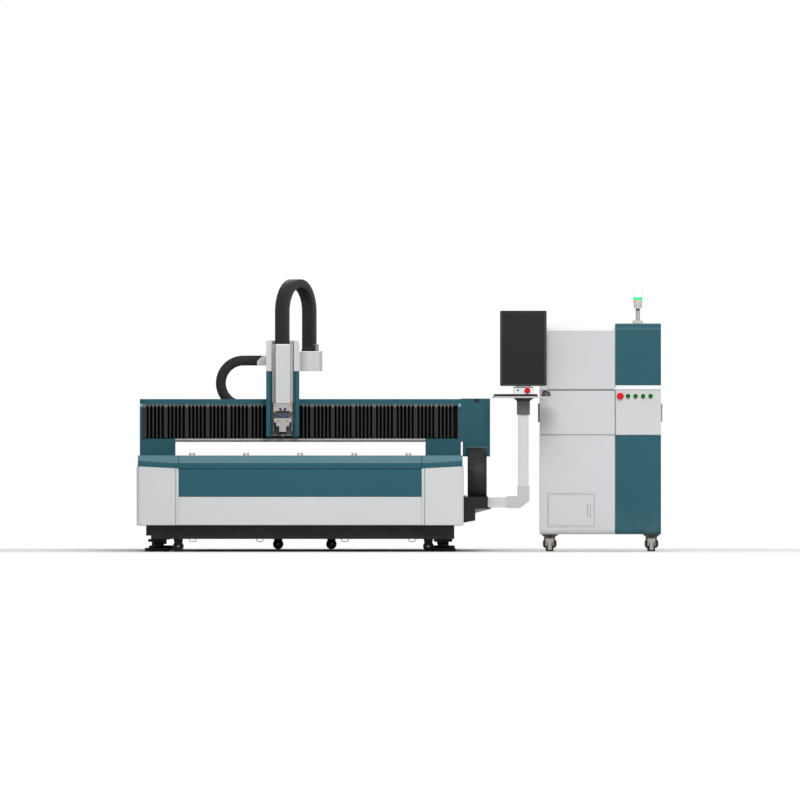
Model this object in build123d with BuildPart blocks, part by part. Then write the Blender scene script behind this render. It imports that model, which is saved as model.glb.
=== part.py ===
"""Open-bed fiber laser cutting machine: bed, gantry, cutting head, console arm and control cabinet.

Millimetres. X runs across the machine to the right, Y from the front to the back, Z up.
The origin is on the floor, under the middle of the whole set.
"""

import os
from math import cos, radians, sin

from build123d import *

os.makedirs("parts", exist_ok=True)

# Overall layout
bed_width = 2285            # across the front corner posts
bed_length = 4200           # front panel to rear wall
cabinet_width = 848
cabinet_depth = 760
cabinet_height = 1477       # body only, without castors
cabinet_gap = 535           # clear floor between bed and cabinet
cabinet_setback = 630       # cabinet front behind the bed front
handle_reach = 12           # how far a side handle stands off the cabinet

# Heights of the bed, from the floor up
base_clearance = 89
base_height = 94
panel_gap = 4
lower_panel_height = 197
accent_height = 198
fascia_height = 38
ledge_rise = 53

# Gantry and head
gantry_setback = 650        # beam centre behind the bed front
beam_height = 277
beam_depth = 170
leg_height = 117            # leg block above the table line
carriage_offset = -123      # carriage centre from the bed centre
carriage_width = 232
column_rise = 196           # columns above the beam's top
hood_height = 214
bellows_height = 228

# Console arm
post_reach = 418            # post axis to the right of the bed
arm_setback = 320           # post axis behind the bed front
monitor_width = 326
monitor_height = 527

# Clearances and shared sizes
slide_gap = 0.3             # flat running gap between two bodies
pin_gap = 0.08              # radial running gap of a pin or shaft
overrun = 5                 # how far a cut runs past its face
sheet = 3                   # folded sheet metal

# Derived reference planes
overall_width = bed_width + cabinet_gap + cabinet_width + handle_reach
bed_left = -overall_width / 2
bed_right = bed_left + bed_width
bed_x = bed_left + bed_width / 2
front_y = -bed_length / 2
back_y = bed_length / 2
base_z0 = base_clearance
base_z1 = base_z0 + base_height
panel_z0 = base_z1 + panel_gap
accent_z0 = panel_z0 + lower_panel_height
fascia_z0 = accent_z0 + accent_height
crease_z = fascia_z0 + fascia_height
table_z = crease_z + ledge_rise
cabinet_x1 = overall_width / 2 - handle_reach
cabinet_x0 = cabinet_x1 - cabinet_width
cabinet_y0 = front_y + cabinet_setback
cabinet_y1 = cabinet_y0 + cabinet_depth


def block(x, y, z, mode=Mode.ADD):
    """A box between two corners, given as low and high pairs."""
    with Locations(((x[0] + x[1]) / 2, (y[0] + y[1]) / 2, (z[0] + z[1]) / 2)):
        Box(x[1] - x[0], y[1] - y[0], z[1] - z[0], mode=mode)


def facing(y):
    """Sketch plane seen from the front at depth y; extrusions come towards the viewer."""
    return Plane.XZ.offset(-y)


def save(part, label):
    """Labels a finished piece and writes its STEP file."""
    part.label = label
    export_step(part, f"parts/{label}.step")


# Bed: two long box walls with rail seats, and cross walls between them
wall_width = 300
wall_inset = 12.5           # walls inside the front covers
half_bed = bed_width / 2
wall_outer = half_bed - wall_inset
wall_top = crease_z
wall_bottom = base_z1
wall_inner = wall_outer - wall_width
rib_pitch = 525             # folded stiffening ribs along the outer face
rib_width = 60
rib_proud = 10
shell_depth = 120           # how far the front covers reach back
cross_wall = 60
wall_y = (front_y + shell_depth, back_y)
seat_width = 90             # slat seat on the inner face
seat_height = 40
slat_height = 90
slat_seat_z = table_z - slat_height

for side, label in ((-1, "bed_left_wall"), (1, "bed_right_wall")):
    inner = bed_x + side * wall_inner
    outer = bed_x + side * wall_outer
    seat = inner - side * seat_width
    with BuildPart() as bed_wall:
        with BuildSketch(facing(wall_y[1])):
            with BuildLine():
                Polyline(
                    (inner, wall_bottom),
                    (inner, slat_seat_z - seat_height),
                    (seat, slat_seat_z - seat_height),
                    (seat, slat_seat_z),
                    (inner, slat_seat_z),
                    (inner, wall_top),
                    (outer, wall_top),
                    (outer, wall_bottom),
                    close=True,
                )
            make_face()
        extrude(amount=wall_y[1] - wall_y[0])
        rib_count = int((wall_y[1] - wall_y[0]) // rib_pitch)
        if side < 0:
            rib_mid = ((wall_y[0] + wall_y[1]) / 2, (accent_z0 + wall_bottom) / 2)
            with BuildSketch(Plane.YZ.offset(outer)):
                with Locations(rib_mid):
                    with GridLocations(rib_pitch, 1, rib_count, 1):
                        Rectangle(rib_width, accent_z0 - wall_bottom)
            extrude(amount=-rib_proud)
    save(bed_wall.part, label)

with BuildPart() as bed_cross_walls:
    for y0 in (wall_y[0], back_y - cross_wall):
        block(
            (bed_x - wall_inner, bed_x + wall_inner),
            (y0, y0 + cross_wall),
            (wall_bottom, slat_seat_z - seat_height),
        )
save(bed_cross_walls.part, "bed_cross_walls")

# Base frame: black beams under the walls, with the fork of each transport castor welded on
base_inset = 65.5           # beam ends inside the front covers
base_half = half_bed - base_inset
base_step = 34              # notch under each beam end
base_beam = 120
castor_radius = 37.5
castor_width = 34
castor_axle = 8
castor_cheek = 7
castor_side_gap = 3
cheek_width = 64
castor_inset = 48           # front castors behind their beam
front_castor_insets = (224, 181)    # from the left and right beam ends
rear_castor_offsets = (-168, 210)   # from the bed centre
front_row = front_y + shell_depth + base_beam + castor_inset
rear_row = back_y - base_beam - castor_inset
castor_places = (
    (front_castor_insets[0] - base_half, front_row),
    (base_half - front_castor_insets[1], front_row),
    (rear_castor_offsets[0], rear_row),
    (rear_castor_offsets[1], rear_row),
)
castor_half = castor_width / 2 + castor_side_gap + castor_cheek
castor_crown = 5            # gap over the wheel under the fork's bridge

with BuildPart() as base_frame:
    for y0 in (front_y + shell_depth, back_y - base_beam):
        with BuildSketch(facing(y0 + base_beam)):
            with BuildLine():
                Polyline(
                    (bed_x - base_half, base_z1),
                    (bed_x - base_half, base_z0 + base_height / 4),
                    (bed_x - base_half + base_step, base_z0 + base_height / 4),
                    (bed_x - base_half + base_step, base_z0),
                    (bed_x + base_half, base_z0),
                    (bed_x + base_half, base_z1),
                    close=True,
                )
            make_face()
        extrude(amount=base_beam)
    for side in (-1, 1):
        beam_outer = bed_x + side * base_half
        beam_inner = beam_outer - side * base_beam
        block(
            (min(beam_outer, beam_inner), max(beam_outer, beam_inner)),
            (front_y + shell_depth + base_beam, back_y - base_beam),
            (base_z0 + base_height / 4, base_z1),
        )
    for dx, y in castor_places:
        rear = y > 0
        carrier = back_y - base_beam if rear else front_y + shell_depth + base_beam
        bridge_y = (y - castor_half, carrier + overrun) if rear else (carrier - overrun, y + castor_half)
        block(
            (bed_x + dx - cheek_width / 2, bed_x + dx + cheek_width / 2),
            bridge_y,
            (castor_radius * 2 + castor_crown, base_z0 + base_height / 2),
        )
        for side in (-1, 1):
            cheek_y = y + side * (castor_half - castor_cheek / 2)
            with BuildSketch(facing(cheek_y + castor_cheek / 2)):
                with BuildLine():
                    Polyline(
                        (bed_x + dx - cheek_width / 2, castor_radius * 2 + castor_crown),
                        (bed_x + dx - castor_radius / 2, castor_radius - castor_axle * 2),
                        (bed_x + dx + castor_radius / 2, castor_radius - castor_axle * 2),
                        (bed_x + dx + cheek_width / 2, castor_radius * 2 + castor_crown),
                        close=True,
                    )
                make_face()
            extrude(amount=castor_cheek)
        with BuildSketch(facing(y + castor_half)):
            with Locations((bed_x + dx, castor_radius)):
                Circle(castor_axle)
        extrude(amount=castor_half * 2)
save(base_frame.part, "base_frame")

tread_round = 6
hub_radius = 16
hub_recess = 4
for index, (dx, y) in enumerate(castor_places, start=1):
    with BuildPart() as bed_castor_wheel:
        with BuildSketch(facing(y + castor_width / 2)):
            with Locations((bed_x + dx, castor_radius)):
                Circle(castor_radius)
                Circle(castor_axle + pin_gap, mode=Mode.SUBTRACT)
        extrude(amount=castor_width)
        rims = bed_castor_wheel.edges().filter_by(GeomType.CIRCLE).sort_by(SortBy.RADIUS)[-2:]
        fillet(rims, tread_round)
        with BuildSketch(facing(y - castor_width / 2 + hub_recess)):
            with Locations((bed_x + dx, castor_radius)):
                Circle(castor_radius - tread_round * 2)
                Circle(hub_radius, mode=Mode.SUBTRACT)
        extrude(amount=hub_recess, mode=Mode.SUBTRACT)
    save(bed_castor_wheel.part, f"bed_castor_wheel_{index}")

# Levelling feet: a disc foot, a threaded stem and a nut block under the beam ends
foot_inset = 78             # stems inside the beam ends
foot_setback = 90           # rear stems ahead of the rear wall
foot_x = base_half - foot_inset
foot_radius = 88
foot_height = 28
foot_edge = 6
foot_pad = 128
foot_pad_height = 20
stem_radius = 19
nut_width = 78
nut_height = 33
foot_rows = (front_y + shell_depth + base_beam / 2, back_y - foot_setback)

with BuildPart() as levelling_feet:
    for foot_y in foot_rows:
        with Locations((bed_x - foot_x, foot_y, 0), (bed_x + foot_x, foot_y, 0)):
            Cylinder(foot_radius, foot_height - foot_edge, align=(Align.CENTER, Align.CENTER, Align.MIN))
        crown = Plane.XY.offset(foot_height - foot_edge)
        with Locations(crown.offset(0)):
            with Locations((bed_x - foot_x, foot_y), (bed_x + foot_x, foot_y)):
                Cone(foot_radius, foot_radius - foot_edge, foot_edge, align=(Align.CENTER, Align.CENTER, Align.MIN))
                Cylinder(stem_radius, base_z0 - foot_height + foot_edge,
                         align=(Align.CENTER, Align.CENTER, Align.MIN))
        with BuildSketch(Plane.XY.offset(base_z0 - foot_pad_height)):
            with Locations((bed_x - foot_x, foot_y), (bed_x + foot_x, foot_y)):
                Rectangle(foot_pad, foot_pad)
        extrude(amount=foot_pad_height)
        with BuildSketch(Plane.XY.offset(base_z0 - foot_pad_height - nut_height)):
            with Locations((bed_x - foot_x, foot_y), (bed_x + foot_x, foot_y)):
                RegularPolygon(nut_width / 2, 6)
        extrude(amount=nut_height)
save(levelling_feet.part, "levelling_feet")

# Front covers: corner posts with rounded outer edges, two flat panels and the sloping ledge
corner_width = 293
corner_rise = 15            # the corner tops climb towards the outer edge
corner_round = 28
corner_fold = 19            # narrow fold beside the panels
fold_depth = 6
panel_half = half_bed - corner_width
panel_depth = shell_depth - fold_depth

with BuildPart() as front_corners:
    for side in (-1, 1):
        outer = bed_x + side * half_bed
        inner = bed_x + side * panel_half
        fold = inner + side * corner_fold
        with BuildSketch(facing(front_y + shell_depth)):
            with BuildLine():
                Polyline(
                    (inner, panel_z0),
                    (inner, fascia_z0),
                    (outer, fascia_z0 + corner_rise),
                    (outer, panel_z0),
                    close=True,
                )
            make_face()
        extrude(amount=shell_depth)
        block(
            (min(inner, fold), max(inner, fold)),
            (front_y, front_y + fold_depth / 2),
            (panel_z0, fascia_z0 + corner_rise),
            mode=Mode.SUBTRACT,
        )
    uprights = front_corners.edges().filter_by(Axis.Z)
    fillet(uprights.filter_by(lambda e: e.center().Y < front_y + slide_gap
                              and abs(abs(e.center().X - bed_x) - half_bed) < slide_gap), corner_round)
save(front_corners.part, "front_corners")

for label, z0, z1 in (("front_lower_panel", panel_z0, accent_z0), ("front_accent_panel", accent_z0, fascia_z0)):
    with BuildPart() as front_panel:
        block(
            (bed_x - panel_half, bed_x + panel_half),
            (front_y + fold_depth, front_y + shell_depth),
            (z0, z1),
        )
        chamfer(front_panel.faces().sort_by(Axis.Y)[0].edges(), sheet)
    save(front_panel.part, label)

ledge_inset = 8             # the ledge ends stand just inside the corner posts
ledge_run = 75              # how far the slope runs back
ledge_half = half_bed - ledge_inset
ledge_back = front_y + shell_depth

with BuildPart() as front_ledge:
    with BuildSketch(facing(ledge_back)):
        with BuildLine():
            Polyline(
                (bed_x - ledge_half, fascia_z0 + corner_rise),
                (bed_x - panel_half, fascia_z0),
                (bed_x + panel_half, fascia_z0),
                (bed_x + ledge_half, fascia_z0 + corner_rise),
                (bed_x + ledge_half, table_z),
                (bed_x - ledge_half, table_z),
                close=True,
            )
        make_face()
    extrude(amount=shell_depth)
    with BuildSketch(Plane.YZ.offset(bed_x - ledge_half - overrun)):
        with BuildLine():
            Polyline(
                (front_y, crease_z),
                (front_y + ledge_run, table_z),
                (front_y, table_z),
                close=True,
            )
        make_face()
    extrude(amount=ledge_half * 2 + overrun * 2, mode=Mode.SUBTRACT)
    for side in (-1, 1):
        with BuildSketch(facing(front_y + ledge_run)):
            with BuildLine():
                Polyline(
                    (bed_x + side * panel_half, crease_z),
                    (bed_x + side * ledge_half, crease_z),
                    (bed_x + side * ledge_half, crease_z + corner_rise),
                    close=True,
                )
            make_face()
        extrude(amount=ledge_run - sheet)
save(front_ledge.part, "front_ledge")

# Sheet stops: five H-shaped blocks along the top of the ledge
stop_pitch = 378
stop_count = 5
stop_width = 42
stop_block = 15
stop_height = 19
stop_bar = 7
stop_depth = 30
stop_y = (ledge_back - stop_depth, ledge_back)

with BuildPart() as sheet_stops:
    with BuildSketch(facing(stop_y[1])):
        with Locations((bed_x, table_z + stop_height / 2)):
            with GridLocations(stop_pitch, 1, stop_count, 1):
                with Locations((-(stop_width - stop_block) / 2, 0), ((stop_width - stop_block) / 2, 0)):
                    RectangleRounded(stop_block, stop_height, sheet)
                Rectangle(stop_width - stop_block, stop_bar)
    extrude(amount=stop_depth)
save(sheet_stops.part, "sheet_stops")

# Slats: saw-toothed sheet strips standing in rows across the bed
slat_pitch = 133
slat_thickness = 6
tooth_pitch = 83
tooth_depth = 22
slat_drop = 14              # tooth tips below the table line
slat_tip_z = table_z - slat_drop
slat_half = wall_inner - slide_gap
bed_inside = (wall_y[0] + cross_wall, back_y - cross_wall)
slat_mid = (bed_inside[0] + bed_inside[1]) / 2
slat_rows = int((bed_inside[1] - bed_inside[0]) // slat_pitch)
tooth_count = int(slat_half * 2 // tooth_pitch)
tooth_step = slat_half * 2 / tooth_count
slat_outline = [(bed_x - slat_half, slat_seat_z), (bed_x - slat_half, slat_tip_z - tooth_depth)]
for tooth in range(tooth_count):
    tooth_left = bed_x - slat_half + tooth * tooth_step
    slat_outline.append((tooth_left + tooth_step / 2, slat_tip_z))
    slat_outline.append((tooth_left + tooth_step, slat_tip_z - tooth_depth))
slat_outline.append((bed_x + slat_half, slat_seat_z))

with BuildPart() as slats:
    for row in range(slat_rows):
        row_y = slat_mid + (row - (slat_rows - 1) / 2) * slat_pitch
        with BuildSketch(facing(row_y + slat_thickness / 2)):
            with BuildLine():
                Polyline(*slat_outline, close=True)
            make_face()
        extrude(amount=slat_thickness)
save(slats.part, "slats")

# Scrap hopper: two sloping sheets that meet in a gutter under the slats
hopper_sheet = 6
hopper_top = slat_seat_z - seat_height
hopper_bottom = wall_bottom + base_height / 2
gutter_half = 200

with BuildPart() as scrap_hopper:
    with BuildSketch(facing(bed_inside[1])):
        with BuildLine():
            Polyline(
                (bed_x - wall_inner, hopper_top),
                (bed_x - gutter_half, hopper_bottom),
                (bed_x + gutter_half, hopper_bottom),
                (bed_x + wall_inner, hopper_top),
                (bed_x + wall_inner, hopper_top - hopper_sheet * 2),
                (bed_x + gutter_half, hopper_bottom - hopper_sheet),
                (bed_x - gutter_half, hopper_bottom - hopper_sheet),
                (bed_x - wall_inner, hopper_top - hopper_sheet * 2),
                close=True,
            )
        make_face()
    extrude(amount=bed_inside[1] - bed_inside[0])
save(scrap_hopper.part, "scrap_hopper")

# Linear rails along the walls, with a rack bar beside each
rail_inset = 130            # rail centres inside the outer faces of the walls
rail_x = wall_outer - rail_inset
rail_width = 28
rail_height = 34
rail_waist = 4
rack_width = 30
rack_gap = 12

with BuildPart() as y_rails:
    with BuildSketch(facing(back_y)):
        for side in (-1, 1):
            with Locations((bed_x + side * rail_x, wall_top + rail_height / 2)):
                Rectangle(rail_width, rail_height)
                with Locations((-rail_width / 2, 0), (rail_width / 2, 0)):
                    Circle(rail_waist, mode=Mode.SUBTRACT)
            rack_mid = rail_x - rail_width / 2 - rack_gap - rack_width / 2
            with Locations((bed_x + side * rack_mid, wall_top + rack_width / 2)):
                Rectangle(rack_width, rack_width)
    extrude(amount=wall_y[1] - wall_y[0])
save(y_rails.part, "y_rails")

# Gantry: leg blocks with end plates, the box beam, its sill and the drive housing
leg_inset = 18.5            # legs inside the front covers
leg_width = 248
leg_outer = half_bed - leg_inset
leg_inner = leg_outer - leg_width
end_plate = 20
leg_depth = 330
gantry_y = front_y + gantry_setback
leg_y = (gantry_y - leg_depth / 2, gantry_y + leg_depth / 2)
beam_y = (gantry_y - beam_depth / 2, gantry_y + beam_depth / 2)
leg_z0 = wall_top + rail_height + slide_gap
beam_z0 = table_z + leg_height
beam_z1 = beam_z0 + beam_height
beam_half = leg_outer - end_plate

with BuildPart() as gantry_legs:
    for side in (-1, 1):
        with BuildSketch(facing(leg_y[1])):
            with BuildLine():
                Polyline(
                    (bed_x + side * leg_outer, leg_z0),
                    (bed_x + side * leg_outer, beam_z1),
                    (bed_x + side * beam_half, beam_z1),
                    (bed_x + side * beam_half, beam_z0),
                    (bed_x + side * leg_inner, beam_z0),
                    (bed_x + side * leg_inner, leg_z0),
                    close=True,
                )
            make_face()
        extrude(amount=leg_depth)
save(gantry_legs.part, "gantry_legs")

guard_height = 36           # front edge of the beam's top guard
guard_reach = 95            # how far the guard and the sill stand forward of the beam
x_rail_width = 24
x_rail_proud = 18
x_rail_inset = 60           # rail centres inside the bellows height
bellows_gap = 4
bellows_z0 = beam_z0 + bellows_gap
bellows_z1 = bellows_z0 + bellows_height
rail_levels = (bellows_z0 + x_rail_inset, bellows_z1 - x_rail_inset)
tray_width = 120            # shelf behind the beam that carries the lower chain run
tray_lip = 30
chain_height = 70
x_chain_radius = 158
x_chain_rise = 109          # upper chain run above the columns
column_top = beam_z1 + column_rise
hood_top = column_top + hood_height
x_chain_top = column_top + x_chain_rise
x_chain_floor = x_chain_top - chain_height - x_chain_radius * 2

with BuildPart() as beam:
    with BuildSketch(Plane.YZ.offset(bed_x - beam_half)):
        with BuildLine():
            Polyline(
                (beam_y[0], beam_z0),
                (beam_y[0], rail_levels[0] - x_rail_width / 2),
                (beam_y[0] - x_rail_proud, rail_levels[0] - x_rail_width / 2),
                (beam_y[0] - x_rail_proud, rail_levels[0] + x_rail_width / 2),
                (beam_y[0], rail_levels[0] + x_rail_width / 2),
                (beam_y[0], rail_levels[1] - x_rail_width / 2),
                (beam_y[0] - x_rail_proud, rail_levels[1] - x_rail_width / 2),
                (beam_y[0] - x_rail_proud, rail_levels[1] + x_rail_width / 2),
                (beam_y[0], rail_levels[1] + x_rail_width / 2),
                (beam_y[0], beam_z1 - guard_height),
                (beam_y[0] - guard_reach, beam_z1 - guard_height),
                (beam_y[0] - guard_reach, beam_z1),
                (beam_y[1], beam_z1),
                (beam_y[1], x_chain_floor),
                (beam_y[1] + tray_width, x_chain_floor),
                (beam_y[1] + tray_width, x_chain_floor + tray_lip),
                (beam_y[1] + tray_width + sheet, x_chain_floor + tray_lip),
                (beam_y[1] + tray_width + sheet, x_chain_floor - sheet),
                (beam_y[1], x_chain_floor - sheet),
                (beam_y[1], beam_z0),
                close=True,
            )
        make_face()
    extrude(amount=beam_half * 2)
save(beam.part, "beam")

sill_height = 23
with BuildPart() as beam_sill:
    with BuildSketch(Plane.YZ.offset(bed_x - leg_inner + slide_gap)):
        with BuildLine():
            Polyline(
                (beam_y[0] - guard_reach, beam_z0 - sill_height / 2),
                (beam_y[0] - guard_reach, beam_z0),
                (beam_y[1], beam_z0),
                (beam_y[1], beam_z0 - sill_height),
                (beam_y[0] - guard_reach + sill_height / 2, beam_z0 - sill_height),
                close=True,
            )
        make_face()
    extrude(amount=leg_inner * 2 - slide_gap * 2)
save(beam_sill.part, "beam_sill")

housing_width = 204
housing_drop = 8            # the housing hangs a little below the table line
housing_rise = 4
housing_notch = 13          # clear of the leg below the beam
chain_side = 46             # left wall of the chain slot
chain_width = 134
chain_play = 3
housing_x0 = bed_x + leg_outer
housing_x1 = housing_x0 + housing_width
housing_z = (table_z - housing_drop, beam_z1 + housing_rise)
y_chain_x = (housing_x0 + chain_side, housing_x0 + chain_side + chain_width)
y_chain_top = table_z + leg_height / 2

with BuildPart() as drive_housing:
    with BuildSketch(facing(leg_y[1])):
        with BuildLine():
            Polyline(
                (housing_x0, beam_z0 - sill_height),
                (housing_x0, housing_z[1]),
                (housing_x1, housing_z[1]),
                (housing_x1, housing_z[0]),
                (y_chain_x[1] + chain_play, housing_z[0]),
                (y_chain_x[1] + chain_play, y_chain_top),
                (y_chain_x[0] - chain_play, y_chain_top),
                (y_chain_x[0] - chain_play, housing_z[0]),
                (housing_x0 + housing_notch, housing_z[0]),
                (housing_x0 + housing_notch, beam_z0 - sill_height),
                close=True,
            )
        make_face()
    extrude(amount=leg_depth)
    chamfer(drive_housing.faces().sort_by(Axis.Y)[0].edges().filter_by(Axis.Z).sort_by(Axis.X)[-1:], sheet)
save(drive_housing.part, "drive_housing")

# Bellows: pleated sheets between the end plates and the carriage, stiffened by wide frames
pleat_depth = 52
pleat_sheet = 5
bay_pitch = 146             # one wide frame and four pleats
pleats_per_bay = 5
frame_share = 0.62          # flat top of a frame, as a share of one pleat
bellows_front = beam_y[0] - guard_reach + sheet
carriage_x = bed_x + carriage_offset
carriage_left = carriage_x - carriage_width / 2
carriage_right = carriage_x + carriage_width / 2


def bellows_edge(x0, x1):
    """Ridges and valleys of a pleated sheet from x0 to x1, seen from above."""
    bays = round((x1 - x0) / bay_pitch)
    step = (x1 - x0) / (bays * pleats_per_bay)
    edge = []
    for pleat in range(bays * pleats_per_bay):
        left = x0 + pleat * step
        half_flat = step * frame_share / 2 if pleat % pleats_per_bay == 0 else step * frame_share / 4
        edge.append((left, pleat_depth))
        edge.append((left + step / 2 - half_flat, 0))
        edge.append((left + step / 2 + half_flat, 0))
    edge.append((x1, pleat_depth))
    return edge


for label, x0, x1 in (
    ("bellows_left", bed_x - beam_half + slide_gap, carriage_left - slide_gap),
    ("bellows_right", carriage_right + slide_gap, bed_x + beam_half - slide_gap),
):
    ridge = bellows_edge(x0, x1)
    with BuildPart() as bellows:
        with BuildSketch(Plane.XY.offset(bellows_z0)):
            with BuildLine():
                outside = [(x, bellows_front + y) for x, y in ridge]
                inside = [(x, bellows_front + y + pleat_sheet) for x, y in reversed(ridge)]
                Polyline(*outside, *inside, close=True)
            make_face()
        extrude(amount=bellows_height)
    save(bellows.part, label)

# Carriage: two columns on a back plate that rides the beam rails, under a folded hood
column_width = 38
column_depth = 95
back_plate = 18
shoe_height = 44
column_z0 = bellows_z0 + sheet * 4
plate_front = beam_y[0] - guard_reach - slide_gap * 4
column_front = plate_front - column_depth
carriage_half = carriage_width / 2
plate_back = plate_front - back_plate


def channel(z0, z1):
    """U-section of the carriage, open to the front, between two heights."""
    with BuildSketch(Plane.XY.offset(z0)) as section:
        with BuildLine():
            Polyline(
                (carriage_x - carriage_half, plate_front),
                (carriage_x - carriage_half, column_front),
                (carriage_x - carriage_half + column_width, column_front),
                (carriage_x - carriage_half + column_width, plate_back),
                (carriage_x + carriage_half - column_width, plate_back),
                (carriage_x + carriage_half - column_width, column_front),
                (carriage_x + carriage_half, column_front),
                (carriage_x + carriage_half, plate_front),
                close=True,
            )
        make_face()
    extrude(section.sketch, amount=z1 - z0)


shoe_inset = 30             # shoes stand clear of the bellows ends
with BuildPart() as carriage_frame:
    channel(column_z0, column_top)
    for level in rail_levels:
        shoe_y = (plate_front, beam_y[0] - x_rail_proud - slide_gap)
        block(
            (carriage_left + shoe_inset, carriage_right - shoe_inset),
            shoe_y,
            (level - shoe_height / 2, level + shoe_height / 2),
        )
save(carriage_frame.part, "carriage_frame")

hood_round = 18
arm_height = 138            # right-hand chain bracket
arm_width = 152
arm_back = 330              # the bracket reaches back over the beam
hood_wing = 65              # left-hand chain bracket
wing_cut = 40
wing_sheet = 12
chain_y = (beam_y[1] + sheet, beam_y[1] + tray_width - sheet)

with BuildPart() as carriage_hood:
    channel(column_top, hood_top)
    crown = carriage_hood.edges().filter_by(Axis.Y).group_by(Axis.Z)[-1].sort_by(Axis.X)
    fillet([crown[0], crown[-1]], hood_round)
    block(
        (carriage_right, carriage_right + arm_width),
        (column_front, plate_front + arm_back),
        (column_top, column_top + arm_height),
    )
    with BuildSketch(facing(chain_y[0])):
        with BuildLine():
            Polyline(
                (carriage_left + column_width, x_chain_top),
                (carriage_left - hood_wing + wing_cut, x_chain_top),
                (carriage_left - hood_wing, x_chain_top - wing_cut),
                (carriage_left - hood_wing, x_chain_top - chain_height),
                (carriage_left + column_width, x_chain_top - chain_height),
                close=True,
            )
        make_face()
    extrude(amount=wing_sheet)
    block(
        (carriage_left, carriage_left + column_width),
        (plate_front, chain_y[0]),
        (x_chain_top - chain_height, x_chain_top),
    )
save(carriage_hood.part, "carriage_hood")

# Cable chains: enclosed bands that bend in one plane
x_bend_offset = -400        # bend centre and fixed end from the bed centre
x_anchor_offset = 380
x_bend_x = bed_x + x_bend_offset
x_bend_z = x_chain_top - chain_height / 2 - x_chain_radius
x_chain_end = bed_x + x_anchor_offset
half_chain = chain_height / 2

with BuildPart() as x_chain:
    with BuildSketch(facing(chain_y[1])):
        with BuildLine():
            outer_r = x_chain_radius + half_chain
            inner_r = x_chain_radius - half_chain
            top_end = carriage_left
            Line((top_end, x_bend_z + inner_r), (top_end, x_bend_z + outer_r))
            Line((top_end, x_bend_z + outer_r), (x_bend_x, x_bend_z + outer_r))
            ThreePointArc((x_bend_x, x_bend_z + outer_r), (x_bend_x - outer_r, x_bend_z),
                          (x_bend_x, x_bend_z - outer_r))
            Line((x_bend_x, x_bend_z - outer_r), (x_chain_end, x_bend_z - outer_r))
            Line((x_chain_end, x_bend_z - outer_r), (x_chain_end, x_bend_z - inner_r))
            Line((x_chain_end, x_bend_z - inner_r), (x_bend_x, x_bend_z - inner_r))
            ThreePointArc((x_bend_x, x_bend_z - inner_r), (x_bend_x - inner_r, x_bend_z),
                          (x_bend_x, x_bend_z + inner_r))
            Line((x_bend_x, x_bend_z + inner_r), (top_end, x_bend_z + inner_r))
        make_face()
    extrude(amount=chain_y[1] - chain_y[0])
save(x_chain.part, "x_chain")

# Side trough for the long chain: a channel on a skirt bolted to the right wall
trough_wall = 5
trough_height = 81
trough_floor = accent_z0 - trough_height
skirt_width = 94
skirt_height = 103
skirt_slope = 18
trough_x0 = bed_x + wall_outer
trough_x1 = y_chain_x[1] + chain_play + trough_wall
trough_front = 200          # trough ends inside the bed's ends
trough_back = 500
trough_y = (front_y + trough_front, back_y - trough_back)

with BuildPart() as y_chain_trough:
    with BuildSketch(facing(trough_y[1])):
        with BuildLine():
            Polyline(
                (trough_x0, trough_floor - skirt_height),
                (trough_x0, trough_floor + trough_height),
                (y_chain_x[0] - chain_play, trough_floor + trough_height),
                (y_chain_x[0] - chain_play, trough_floor + trough_wall),
                (trough_x1 - trough_wall, trough_floor + trough_wall),
                (trough_x1 - trough_wall, trough_floor + trough_height),
                (trough_x1, trough_floor + trough_height),
                (trough_x1, trough_floor),
                (trough_x0 + skirt_width, trough_floor),
                (trough_x0 + skirt_width, trough_floor - skirt_height + skirt_slope),
                close=True,
            )
        make_face()
    extrude(amount=trough_y[1] - trough_y[0])
    block((y_chain_x[0] - chain_play, trough_x1), (trough_y[0], trough_y[0] + trough_wall),
          (trough_floor, trough_floor + trough_height))
save(y_chain_trough.part, "y_chain_trough")

y_lower = trough_floor + trough_wall
y_radius = (y_chain_top - chain_height - y_lower) / 2
y_bend_z = y_lower + half_chain + y_radius
y_bend_y = trough_y[0] + trough_wall + chain_play + y_radius + half_chain
y_chain_end = (trough_y[0] + trough_y[1]) / 2

with BuildPart() as y_chain:
    with BuildSketch(Plane.YZ.offset(y_chain_x[0])):
        with BuildLine():
            outer_r = y_radius + half_chain
            inner_r = y_radius - half_chain
            top_end = gantry_y
            Line((top_end, y_bend_z + inner_r), (top_end, y_bend_z + outer_r))
            Line((top_end, y_bend_z + outer_r), (y_bend_y, y_bend_z + outer_r))
            ThreePointArc((y_bend_y, y_bend_z + outer_r), (y_bend_y - outer_r, y_bend_z),
                          (y_bend_y, y_bend_z - outer_r))
            Line((y_bend_y, y_bend_z - outer_r), (y_chain_end, y_bend_z - outer_r))
            Line((y_chain_end, y_bend_z - outer_r), (y_chain_end, y_bend_z - inner_r))
            Line((y_chain_end, y_bend_z - inner_r), (y_bend_y, y_bend_z - inner_r))
            ThreePointArc((y_bend_y, y_bend_z - inner_r), (y_bend_y - inner_r, y_bend_z),
                          (y_bend_y, y_bend_z + inner_r))
            Line((y_bend_y, y_bend_z + inner_r), (top_end, y_bend_z + inner_r))
        make_face()
    extrude(amount=chain_width)
save(y_chain.part, "y_chain")

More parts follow.
